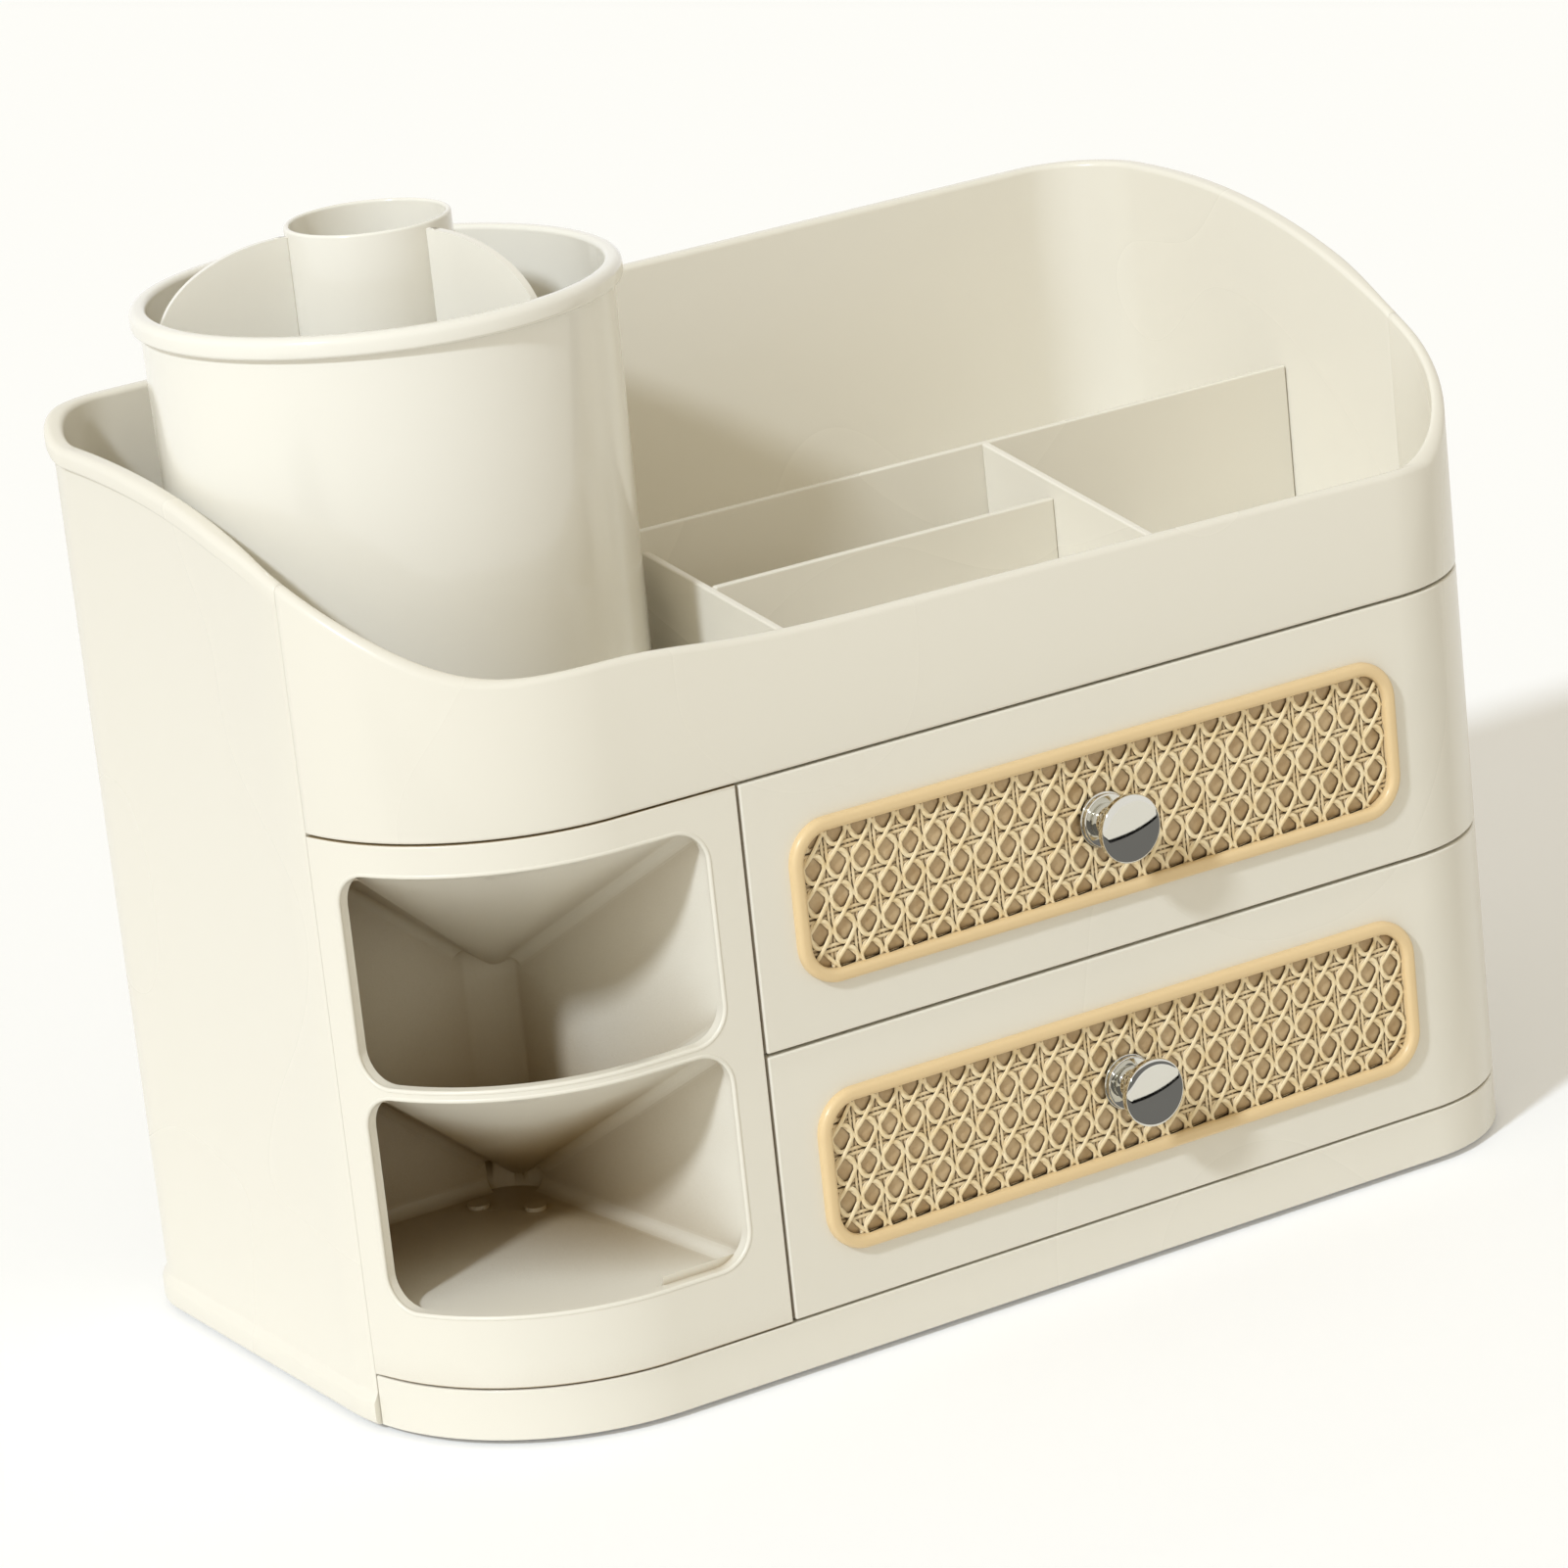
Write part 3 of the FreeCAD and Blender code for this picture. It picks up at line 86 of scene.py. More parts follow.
# Cards that the knobs reflect: how high each pair lies and how far its grey one reaches
CARDS = {"low": (0.5, 120), "high": (64.0, 118)}
CARD_LEFT, CARD_RIGHT, CARD_NEAR, CARD_EDGE, CARD_GREY, CARD_BLACK = -500, 800, 22, 15, 0.2, 0.004


def put(point):
    """Row place in metres of a place in the case's millimetres."""
    return ((CASE_LEFT + point[0]) / 1000, (CASE_FRONT + point[1]) / 1000, point[2] / 1000)


def case_place(vert):
    """The case's millimetres of a vertex in the row frame."""
    return vert.co.x * 1000 - CASE_LEFT, vert.co.y * 1000 - CASE_FRONT, vert.co.z * 1000


# Materials

def new_material(name):
    material = bpy.data.materials.new(name)
    material.use_nodes = True
    tree = material.node_tree
    shader = tree.nodes["Principled BSDF"]
    return material, tree, shader


def add(tree, kind, **inputs):
    node = tree.nodes.new(kind)
    for key, value in inputs.items():
        node.inputs[key.replace("_", " ")].default_value = value
    return node


def noise(tree, coords, scale, detail=3.0, rough=0.55):
    node = add(tree, "ShaderNodeTexNoise", Scale=scale, Detail=detail, Roughness=rough)
    tree.links.new(coords, node.inputs["Vector"])
    return node.outputs["Fac"]


def span(tree, value, low, high, to_low, to_high):
    node = tree.nodes.new("ShaderNodeMapRange")
    tree.links.new(value, node.inputs["Value"])
    for key, number in zip(("From Min", "From Max", "To Min", "To Max"), (low, high, to_low, to_high)):
        node.inputs[key].default_value = number
    return node.outputs["Result"]


def blend(tree, share, first, second):
    """Mix of two colours, each a colour or a socket."""
    node = tree.nodes.new("ShaderNodeMix")
    node.data_type = "RGBA"
    tree.links.new(share, node.inputs["Factor"])
    for socket, colour in ((node.inputs[6], first), (node.inputs[7], second)):
        if isinstance(colour, bpy.types.NodeSocket):
            tree.links.new(colour, socket)
        else:
            socket.default_value = (*colour, 1)
    return node.outputs[2]


def bump(tree, shader, height, strength, distance):
    node = add(tree, "ShaderNodeBump", Strength=strength, Distance=distance)
    tree.links.new(height, node.inputs["Height"])
    tree.links.new(node.outputs["Normal"], shader.inputs["Normal"])


def coords_of(tree):
    return tree.nodes.new("ShaderNodeTexCoord").outputs["Object"]


def moulded(name, colour, rough, coat=0.0, shade=0.985, texture=0.008, hollow=None, specular=0.4):
    """Moulded plastic: faint flow clouds in its tint, uneven gloss and a fine skin.

    hollow is (reach, tint) for painted shade: how far recesses are looked for by ambient occlusion, and the
    darker tint that is painted into them.
    """
    material, tree, shader = new_material(name)
    coords = coords_of(tree)
    tone_and_painted_shade = blend(tree, noise(tree, coords, 9.0, 0.0), tuple(c * shade for c in colour), colour)
    # Painted shade: where ambient occlusion finds a recess, the colour is darkened towards the hollow tint.
    if hollow:
        shut = add(tree, "ShaderNodeAmbientOcclusion", Distance=hollow[0])
        shut.samples = SHADE_SAMPLES
        shade_of = span(tree, shut.outputs["AO"], 0.15, 0.75, 0.0, 1.0)
        tone_and_painted_shade = blend(tree, shade_of, tuple(c * t for c, t in zip(colour, hollow[1])), tone_and_painted_shade)
    tree.links.new(tone_and_painted_shade, shader.inputs["Base Color"])
    gloss = span(tree, noise(tree, coords, 12.0, 0.0), 0.2, 0.8, rough * 0.94, rough * 1.06)
    tree.links.new(gloss, shader.inputs["Roughness"])
    bump(tree, shader, noise(tree, coords, 120.0, 0.0), texture, 0.0002)
    shader.inputs["Coat Weight"].default_value = coat
    shader.inputs["Coat Roughness"].default_value = 0.06
    shader.inputs["Specular IOR Level"].default_value = specular
    return material


def cane_material(name):
    """Woven cane look: blotchy tone and a fine grainy bump, with painted shade: pale tops going darker
    brown towards the back of the weave, and near-black in the crevices.
    """
    material, tree, shader = new_material(name)
    coords = coords_of(tree)
    # Painted shade: the depth attribute blends from the deep brown at the back of the weave to the pale
    # colour at the strand tops.
    depth = tree.nodes.new("ShaderNodeAttribute")
    depth.attribute_name = "depth"
    low = span(tree, depth.outputs["Fac"], 0.0, 1.0, 0.0, 1.0)
    blotch = span(tree, noise(tree, coords, 260.0), 0.3, 0.7, 0.0, 1.0)
    pale = blend(tree, blotch, (0.80, 0.62, 0.34), (0.90, 0.76, 0.50))
    deep = blend(tree, blotch, (0.30, 0.16, 0.06), (0.48, 0.31, 0.14))
    # Painted shade: crevices that ambient occlusion finds, where strands touch, are darkened to near-black.
    shut = add(tree, "ShaderNodeAmbientOcclusion", Distance=0.0012)
    shut.samples = SHADE_SAMPLES
    crevice = span(tree, shut.outputs["AO"], 0.2, 0.7, 0.0, 1.0)
    depth_shaded_tone = blend(tree, low, deep, pale)
    tree.links.new(blend(tree, crevice, (0.07, 0.032, 0.01), depth_shaded_tone), shader.inputs["Base Color"])
    tree.links.new(span(tree, blotch, 0.0, 1.0, 0.30, 0.46), shader.inputs["Roughness"])
    bump(tree, shader, noise(tree, coords, 2600.0, 3.0), 0.25, 0.0002)
    return material


def metal(name, colour, rough, scratch):
    """Metal with a faint smear in its tint and gloss, and scratches as deep as asked for."""
    material, tree, shader = new_material(name)
    coords = coords_of(tree)
    smear = noise(tree, coords, 90.0)
    tree.links.new(blend(tree, smear, tuple(c * 0.94 for c in colour), colour), shader.inputs["Base Color"])
    tree.links.new(span(tree, smear, 0.3, 0.7, rough, rough * 1.8), shader.inputs["Roughness"])
    shader.inputs["Metallic"].default_value = 1.0
    bump(tree, shader, noise(tree, coords, 900.0), scratch, 0.0001)
    return material


CREAM = moulded("cream_plastic", CREAM_COLOUR, 0.27, 0.1)
# Pocket plastic with painted shade: ambient occlusion darkens its recesses to a warm brown.
POCKET_PAINTED_SHADE = moulded("pocket_plastic_painted_shade", CREAM_COLOUR, 0.30, 0.0, hollow=(0.04, (0.40, 0.285, 0.13)),
                 specular=0.3)
CUP = moulded("cup_plastic", (0.85, 0.82, 0.735), 0.15, 0.4)
TAN = moulded("tan_plastic", (0.80, 0.60, 0.33), 0.30, 0.1, 0.94)
CANE = cane_material("cane_weave")
CHROME = metal("chrome_polish", (0.72, 0.70, 0.63), 0.035, 0.003)
STEEL = metal("steel_plain", (0.56, 0.56, 0.55), 0.28, 0.2)
NYLON = moulded("nylon_plain", (0.80, 0.79, 0.73), 0.45)
RUBBER = moulded("rubber_soft", (0.27, 0.26, 0.23), 0.65, 0.0, 0.9, 0.3)

LOOKS = {"shell_plastic": CREAM, "cup_plastic": CUP, "tan_plastic": TAN, "cane": CANE,
         "chrome_metal": CHROME, "steel": STEEL, "nylon": NYLON, "foot_rubber": RUBBER}


# Shape helpers

def rounded(corners):
    """Closed outline whose corners are (across, up, radius, steps): points with the corner's index."""
    points = []
    for index, (x, y, radius, steps) in enumerate(corners):
        here = Vector((x, y))
        if not radius:
            points.append((x, y, index))
            continue
        back = Vector(corners[index - 1][:2]) - here
        ahead = Vector(corners[(index + 1) % len(corners)][:2]) - here
        room = min(back.length, ahead.length)
        back.normalize()
        ahead.normalize()
        half = back.angle(ahead) / 2
        run = min(radius / math.tan(half), room)
        centre = here + (back + ahead).normalized() * (run / math.cos(half))
        total = math.pi - 2 * half
        first, last = here + back * run - centre, here + ahead * run - centre
        for step in range(steps + 1):
            turn = total * step / steps
            spot = centre + (first * math.sin(total - turn) + last * math.sin(turn)) / math.sin(total)
            points.append((spot.x, spot.y, index))
    return points


def inset(points, amount):
    """The outline moved inwards, for the softened end of a swept piece."""
    area = sum(a[0] * b[1] - b[0] * a[1] for a, b in zip(points, points[1:] + points[:1]))
    side = amount if area > 0 else -amount
    moved = []
    for index, (x, y, corner) in enumerate(points):
        before, after = points[index - 1], points[(index + 1) % len(points)]
        along = Vector((after[0] - before[0], after[1] - before[1])).normalized()
        moved.append((x - along.y * side, y + along.x * side, corner))
    return moved


class Form:
    """One piece's mesh, built from points in millimetres."""

    def __init__(self):
        self.mesh = bmesh.new()

    def skin(self, rings, closed=False):
        """Joins rings of equal length. An open run of rings is capped at both ends."""
        made = [[self.mesh.verts.new(put(point)) for point in ring] for ring in rings]
        pairs = list(zip(made, made[1:]))
        if closed:
            pairs.append((made[-1], made[0]))
        for low, high in pairs:
            for index in range(len(low)):
                after = (index + 1) % len(low)
                self.mesh.faces.new((low[index], low[after], high[after], high[index]))
        if not closed:
            self.mesh.faces.new(made[0][::-1])
            self.mesh.faces.new(made[-1])
        return made

    def lathe(self, corners, centre, steps=144, forward=False):
        """Turns a closed half outline about a line along Z or to the front.

        Its corners are (radius, height, round, steps).
        """
        profile = rounded(corners)
        rings = []
        for step in range(steps):
            turn = 2 * math.pi * step / steps
            c, s = math.cos(turn), math.sin(turn)
            if forward:
                rings.append([(centre[0] + r * c, centre[1] - h, centre[2] + r * s) for r, h, _ in profile])
            else:
                rings.append([(centre[0] + r * c, centre[1] + r * s, centre[2] + h) for r, h, _ in profile])
        self.skin(rings, closed=True)

    def block(self, x, y, z, edge=0.3):
        """Box between pairs of places, with rounded edges."""
        spots = [self.mesh.verts.new(put((a, b, c))) for a in x for b in y for c in z]
        sides = ((0, 1, 3, 2), (4, 6, 7, 5), (0, 4, 5, 1), (2, 3, 7, 6), (0, 2, 6, 4), (1, 5, 7, 3))
        faces = [self.mesh.faces.new([spots[i] for i in side]) for side in sides]
        edges = {e for face in faces for e in face.edges}
        bmesh.ops.bevel(self.mesh, geom=list(edges), offset=edge / 1000, segments=2, profile=0.5,
                        affect="EDGES")

    def plate(self, outline, low, high, place, edge):
        """Outline of (u, v) points, thickened from low to high along the third axis that place() gives."""
        rings = [[self.mesh.verts.new(put(place(u, v, w))) for u, v in outline] for w in (low, high)]
        faces = [self.mesh.faces.new(rings[0][::-1]), self.mesh.faces.new(rings[1])]
        for index in range(len(outline)):
            after = (index + 1) % len(outline)
            faces.append(self.mesh.faces.new(
                (rings[0][index], rings[0][after], rings[1][after], rings[1][index])))
        rims = {e for face in faces[:2] for e in face.edges}
        bmesh.ops.bevel(self.mesh, geom=list(rims), offset=edge / 1000, segments=3, profile=0.5,
                        affect="EDGES")

    def keep(self, name, body, slot, nodes=(), weighted=False, sharp=35):
        """Makes the piece, hangs it on its body and lets it stand for its CAD nodes."""
        bmesh.ops.remove_doubles(self.mesh, verts=self.mesh.verts, dist=MERGE)
        bmesh.ops.recalc_face_normals(self.mesh, faces=self.mesh.faces)
        data = bpy.data.meshes.new(name)
        self.mesh.to_mesh(data)
        self.mesh.free()
        data.shade_smooth()
        data.set_sharp_from_angle(angle=math.radians(sharp))
        data.materials.append(LOOKS[slot])
        piece = bpy.data.objects.new(name, data)
        bpy.context.scene.collection.objects.link(piece)
        if weighted:
            modifier = piece.modifiers.new("even_normals", "WEIGHTED_NORMAL")
            modifier.keep_sharp = True
        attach(piece, body)
        if nodes:
            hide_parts(*nodes)
        return piece


def soften(node, body, slot, width, name=None):
    """A copy of a CAD node with its sharp edges rounded, which stands for the node."""
    form = Form()
    form.mesh.from_mesh(frame["nodes"][node].data)
    bmesh.ops.remove_doubles(form.mesh, verts=form.mesh.verts, dist=WELD)
    bmesh.ops.dissolve_limit(form.mesh, angle_limit=math.radians(FLAT_ANGLE), verts=form.mesh.verts,
                             edges=form.mesh.edges, use_dissolve_boundaries=False)
    sharp = [e for e in form.mesh.edges
             if e.is_manifold and e.calc_face_angle(0.0) > math.radians(EDGE_ANGLE)]
    bmesh.ops.bevel(form.mesh, geom=sharp, offset=width / 1000, offset_type="OFFSET", segments=3,
                    profile=0.5, affect="EDGES", clamp_overlap=False)
    return form.keep(name or node + "_soft", body, slot, (node,), weighted=True)


# Plan paths of the case: places with their outward direction

def run(x1, y1, x2, y2, out, step):
    """Straight stretch, in steps of a length at most."""
    length = math.hypot(x2 - x1, y2 - y1)
    count = max(1, math.ceil(length / step))
    return [(x1 + (x2 - x1) * i / count, y1 + (y2 - y1) * i / count, *out) for i in range(count + 1)]


def bend(x, y, radius, start, end, step):
    """Round stretch about a centre, in steps of an angle at most."""
    count = max(1, math.ceil(abs(end - start) / step))
    turns = [math.radians(start + (end - start) * i / count) for i in range(count + 1)]
    return [(x + radius * math.cos(t), y + radius * math.sin(t), math.cos(t), math.sin(t)) for t in turns]


def join(*parts):
    path = list(parts[0])
    for part in parts[1:]:
        path += part[1:]
    return path


def left_angle(depth):
    """Where the left front round lies at a depth behind the front, in degrees about its centre."""
    return 180 + math.degrees(math.asin((LEFT_ROUND - depth) / LEFT_ROUND))


def rear_path():
    """From the right parting round the back to the left parting."""
    start, end = RIGHT_PARTING + SEAM, left_angle(LEFT_PARTING + SEAM)
    tip = math.degrees(TIP / LEFT_ROUND)
    return join(
        run(WIDTH, start, WIDTH, start + TIP, (1, 0), TIP),
        run(WIDTH, start + TIP, WIDTH, DEPTH - BACK_ROUND, (1, 0), 1.5),
        bend(WIDTH - BACK_ROUND, DEPTH - BACK_ROUND, BACK_ROUND, 0, 90, 3),
        run(WIDTH - BACK_ROUND, DEPTH, BACK_ROUND, DEPTH, (0, 1), 8),
        bend(BACK_ROUND, DEPTH - BACK_ROUND, BACK_ROUND, 90, 180, 3),
        run(0, DEPTH - BACK_ROUND, 0, LEFT_ROUND, (-1, 0), 1.5),
        bend(LEFT_ROUND, LEFT_ROUND, LEFT_ROUND, 180, end - tip, 1.5),
        bend(LEFT_ROUND, LEFT_ROUND, LEFT_ROUND, end - tip, end, 3))


def front_path():
    """From the left parting round the front to the right parting."""
    start, end = left_angle(LEFT_PARTING - SEAM), RIGHT_PARTING - SEAM
    tip = math.degrees(TIP / LEFT_ROUND)
    return join(
        bend(LEFT_ROUND, LEFT_ROUND, LEFT_ROUND, start, start + tip, 3),
        bend(LEFT_ROUND, LEFT_ROUND, LEFT_ROUND, start + tip, 270, 1.5),
        run(LEFT_ROUND, 0, 134, 0, (0, -1), 2.5),
        run(134, 0, WIDTH - RIGHT_ROUND, 0, (0, -1), 8),
        bend(WIDTH - RIGHT_ROUND, RIGHT_ROUND, RIGHT_ROUND, 270, 360, 2.5),
        run(WIDTH, RIGHT_ROUND, WIDTH, end - TIP, (1, 0), 3),
        run(WIDTH, end - TIP, WIDTH, end, (1, 0), TIP))


# The swooping rim

def on_curve(poles, across):
    """Height of a Bezier curve of (across, height) poles at a place across."""
    low, high = 0.0, 1.0
    if across <= poles[0][0]:
        return poles[0][1]
    if across >= poles[3][0]:
        return poles[3][1]

    def at(t, axis):
        a, b, c, d = (pole[axis] for pole in poles)
        u = 1 - t
        return a * u ** 3 + 3 * b * u * u * t + 3 * c * u * t * t + d * t ** 3
    for _ in range(40):
        middle = (low + high) / 2
        if at(middle, 0) < across:
            low = middle
        else:
            high = middle
    return at(low, 1)


LEFT_SWOOP = ((3, 175), (19.5, 175), (32.5, 212.3), (139.7, 212.3))
LEFT_RISE = ((139.7, 212.3), (146.8, 212.3), (153.9, 217.5), (161, 217.5))
RIGHT_SWOOP = ((3, 170), (5, 170), (47, 219.5), (135, 219.5))
FRONT_RAMP = ((54, 175), (79.33, 175), (79.33, 171), (130, 171))
LEFT_BACK_RIM, RIGHT_BACK_RIM = 217.5, 219.5


def rim_height(x, y):
    """Height of the swooping rim above a place on the plan."""
    if y > DEPTH / 2:
        if x < BACK_ROUND:
            return on_curve(LEFT_SWOOP if y < 139.7 else LEFT_RISE, y)
        if x > WIDTH - BACK_ROUND:
            return on_curve(RIGHT_SWOOP, y)
        share = (x - BACK_ROUND) / (WIDTH - 2 * BACK_ROUND)
        return LEFT_BACK_RIM + (RIGHT_BACK_RIM - LEFT_BACK_RIM) * share
    if x < LEFT_ROUND:
        return on_curve(LEFT_SWOOP, y)
    if x > WIDTH - RIGHT_ROUND:
        return on_curve(RIGHT_SWOOP, y)
    if x < 130:
        return on_curve(FRONT_RAMP, x)
    return 171 - (x - 130) / 135


def swept(path, profile_at, rim_corners):
    """Rings of a wall along a plan path. The named corners of its profile follow the rim."""
    rings = []
    for index, (x, y, out_x, out_y) in enumerate(path):
        level = rim_height(x, y)
        profile = rounded(profile_at(x, y, level))
        if index in (0, len(path) - 1):
            eased = inset(profile, TIP * 0.8)
            profile = [old if old[0] < 0.01 - WALL else new for old, new in zip(profile, eased)]
        ring = []
        for across, up, corner in profile:
            px, py = x + out_x * across, y + out_y * across
            if corner in rim_corners:
                up += rim_height(px, py) - level
            ring.append((px, py, up))
        rings.append(ring)
    return rings


def smooth(share):
    """Share from 0 to 1, eased at both ends."""
    share = min(1.0, max(0.0, share))
    return share * share * (3 - 2 * share)


# Case

def shell_profile(x, y, level):
    """Wall with a rounded foot, and a bead under the rim that fades towards the partings."""
    if x < BACK_ROUND:
        fade = smooth((y - LEFT_ROUND + 6) / 24)
    elif x > WIDTH - BACK_ROUND:
        fade = smooth((y - RIGHT_PARTING) / 24)
    else:
        fade = 1.0
    reach = 0.03 + 1.57 * fade
    return [
        (-WALL, FOOT, 0.4, 2), (-WALL, level, 1.3, 4), (reach, level, 1.5 + 0.3 * fade, 6),
        (reach, level - 4.4, min(0.9, reach * 0.6), 3), (0, level - 4.4 - reach * 0.25, 0.5 * reach, 3),
        (0, 9.2, 1.2, 3), (1.4, 7.0, 2.0, 4), (1.4, FOOT, 1.6, 4)]


def make_shell():
    """The U-shaped wall, the two posts in its back corners and the rib inside its right side."""
    form = Form()
    form.skin(swept(rear_path(), shell_profile, {1, 2, 3, 4}))
    slant = (BACK_ROUND - WALL - 3.5) * math.sqrt(0.5)
    for x in (BACK_ROUND - slant, WIDTH - BACK_ROUND + slant):
        form.lathe([(1.6, 0, 0, 0), (4, 0, 0.3, 2), (4, 18, 0.5, 2), (1.6, 18, 0.3, 2)],
                   (x, DEPTH - BACK_ROUND + slant, PLATE_TOP), 32)
    form.block((294.9, 298.5), (66, 142), (72.8, 74.8))
    form.keep("shell_moulding", "case", "shell_plastic", ("outer_shell",), sharp=50)


def whole_outline(out):
    """The case's whole plan, moved outwards."""
    spots = front_path() + rear_path()
    return [(x + nx * out, y + ny * out) for x, y, nx, ny in spots]


def floor_slab(form, low, high, holes):
    """Level sheet inside the case, with round holes."""
    mesh = form.mesh
    loops = [whole_outline(-3.1)]
    for x, y, radius in holes:
        loops.append([(x + radius * math.cos(t * math.pi / 24), y + radius * math.sin(t * math.pi / 24))
                      for t in range(48)])
    sides = []
    for level in (low, high):
        made, edges = [], []
        for loop in loops:
            spots = [mesh.verts.new(put((x, y, level))) for x, y in loop]
            edges += [mesh.edges.new((a, b)) for a, b in zip(spots, spots[1:] + spots[:1])]
            made.append(spots)
        bmesh.ops.triangle_fill(mesh, edges=edges, use_beauty=True)
        sides.append(made)
    for under, over in zip(*sides):
        for index in range(len(under)):
            after = (index + 1) % len(under)
            mesh.faces.new((under[index], under[after], over[after], over[index]))


def make_tray():
    """Front band with its round rim, and the tray floor."""
    def profile(x, y, level):
        return [(-WALL, UPPER_SEAM, 0.2, 1), (-WALL, level, 1.25, 5), (0, level, 1.5, 6),
                (0, UPPER_SEAM, 0.8, 5)]
    form = Form()
    form.skin(swept(front_path(), profile, {1, 2}))
    floor_slab(form, TRAY_UNDER, TRAY_TOP, [(CUP_X, CUP_Y, 4.1)])
    form.keep("tray_moulding", "case", "shell_plastic", ("top_tray",), sharp=50)


def on_skin(vert):
    """Outward direction of the case's skin at a vertex that lies on it, or nothing."""
    x, y, _ = case_place(vert)
    if x < LEFT_ROUND and y < LEFT_ROUND:
        out = Vector((x - LEFT_ROUND, y - LEFT_ROUND, 0))
        return out.normalized() if abs(out.length - LEFT_ROUND) < 0.15 else None
    return Vector((0, -1, 0)) if abs(y) < 0.15 else None


def chains(edges):
    """Closed runs of vertices that the edges make."""
    left, runs = sorted(edges, key=lambda e: e.index), []
    while left:
        chain = list(left.pop(0).verts)
        while chain[0] is not chain[-1]:
            onward = next(e for e in chain[-1].link_edges if e in left)
            left.remove(onward)
            chain.append(onward.other_vert(chain[-1]))
        runs.append(chain[:-1])
    return runs


def lip(form, chain):
    """Round lip along an opening's edge."""
    middle = sum((v.co for v in chain), Vector()) / len(chain)
    spots = [(v.co.copy(), on_skin(v)) for v in chain]
    rings = []
    for index, (here, out) in enumerate(spots):
        along = (spots[(index + 1) % len(spots)][0] - spots[index - 1][0]).normalized()
        side = out.cross(along).normalized()
        if side.dot(here - middle) < 0:
            side.negate()
        core = here + (side - out) * LIP_BITE / 1000
        ring = []
        for step in range(LIP_SIDES):
            turn = 2 * math.pi * step / LIP_SIDES
            ring.append(core + (side * math.cos(turn) + out * math.sin(turn)) * LIP / 1000)
        rings.append([form.mesh.verts.new(spot) for spot in ring])
    for low, high in zip(rings, rings[1:] + rings[:1]):
        for index in range(LIP_SIDES):
            after = (index + 1) % LIP_SIDES
            form.mesh.faces.new((low[index], low[after], high[after], high[index]))


def cove(form, spot_a, spot_b, first, second):
    """Hollow fillet along an inner edge, between the directions that its two walls run in."""
    half = first.angle(second) / 2
    middle = (first + second).normalized()
    reach = COVE / math.tan(half) / 1000
    away = COVE / math.sin(half) / 1000
    rings = []
    for spot in (spot_a, spot_b):
        centre = spot + middle * away
        start, end = spot + first * reach - centre, spot + second * reach - centre
        total = start.angle(end)
        arc = []
        for step in range(COVE_STEPS + 1):
            turn = total * step / COVE_STEPS
            arc.append(centre + (start * math.sin(total - turn) + end * math.sin(turn)) / math.sin(total))
        rings.append([form.mesh.verts.new(p) for p in [spot - middle * 0.0001] + arc])
    count = len(rings[0])
    form.mesh.faces.new(rings[0][::-1])
    form.mesh.faces.new(rings[1])
    for index in range(count):
        after = (index + 1) % count
        form.mesh.faces.new((rings[0][index], rings[0][after], rings[1][after], rings[1][index]))


def pocket_edges(mesh):
    """Inner edges of the pockets that aren't upright, each as two places and the ways of its two walls."""
    found = []
    for edge in mesh.edges:
        inside = all(5 < x < 76 and 2.9 < y < 88.1 and 29 < z < 133.5
                     for x, y, z in (case_place(v) for v in edge.verts))
        if not inside or edge.calc_length() <= 0.02:
            continue
        if edge.calc_face_angle_signed(0.0) >= -math.radians(EDGE_ANGLE):
            continue
        ways = []
        for corner in edge.link_loops:
            along = (corner.link_loop_next.vert.co - corner.vert.co).normalized()
            ways.append(corner.face.normal.cross(along).normalized())
        a, b = (v.co for v in edge.verts)
        if abs((b - a).normalized().z) < 0.95:
            found.append((a.copy(), b.copy(), *ways))
    return found


def make_corner():
    """Corner moulding with its two pockets: round lips, coves between its walls and a soft border.

    Its border stays sharp at the left parting, where it runs on into the shell.
    """
    form = Form()
    mesh = form.mesh
    mesh.from_mesh(frame["nodes"]["corner_cubby"].data)
    bmesh.ops.remove_doubles(mesh, verts=mesh.verts, dist=WELD)
    bmesh.ops.dissolve_limit(mesh, angle_limit=math.radians(FLAT_ANGLE), verts=mesh.verts, edges=mesh.edges,
                             use_dissolve_boundaries=False)
    mesh.edges.index_update()
    rims = [e for e in mesh.edges if e.is_manifold and e.calc_face_angle(0.0) > math.radians(EDGE_ANGLE)
            and all(on_skin(v) for v in e.verts)]
    runs = chains(rims)
    border = max(runs, key=lambda chain: max(v.co.z for v in chain) - min(v.co.z for v in chain))
    hollows = pocket_edges(mesh)
    for chain in runs:
        if chain is not border:
            lip(form, chain)
    for hollow in hollows:
        cove(form, *hollow)
    near = set(border)
    edges = [e for e in rims if all(v in near for v in e.verts)
             and any(case_place(v)[0] > 1.8 for v in e.verts)]
    bmesh.ops.bevel(mesh, geom=edges, offset=0.0004, offset_type="OFFSET", segments=3, profile=0.5,
                    affect="EDGES", clamp_overlap=False)
    piece = form.keep("corner_moulding", "case", "shell_plastic", ("corner_cubby",), weighted=True)
    # The pockets take the plastic that has painted shade in its recesses.
    piece.data.materials[0] = POCKET_PAINTED_SHADE


make_shell()
make_tray()
soften("base_plate", "case", "shell_plastic", 0.4, "plinth_moulding")
make_corner()
soften("bay_wall", "case", "shell_plastic", 0.3)
soften("drawer_deck", "case", "shell_plastic", 0.3)
for divider in ("long_divider", "left_cross_divider", "right_cross_divider", "middle_divider"):
    soften(divider, "case", "shell_plastic", 0.5)


# Cup and insert

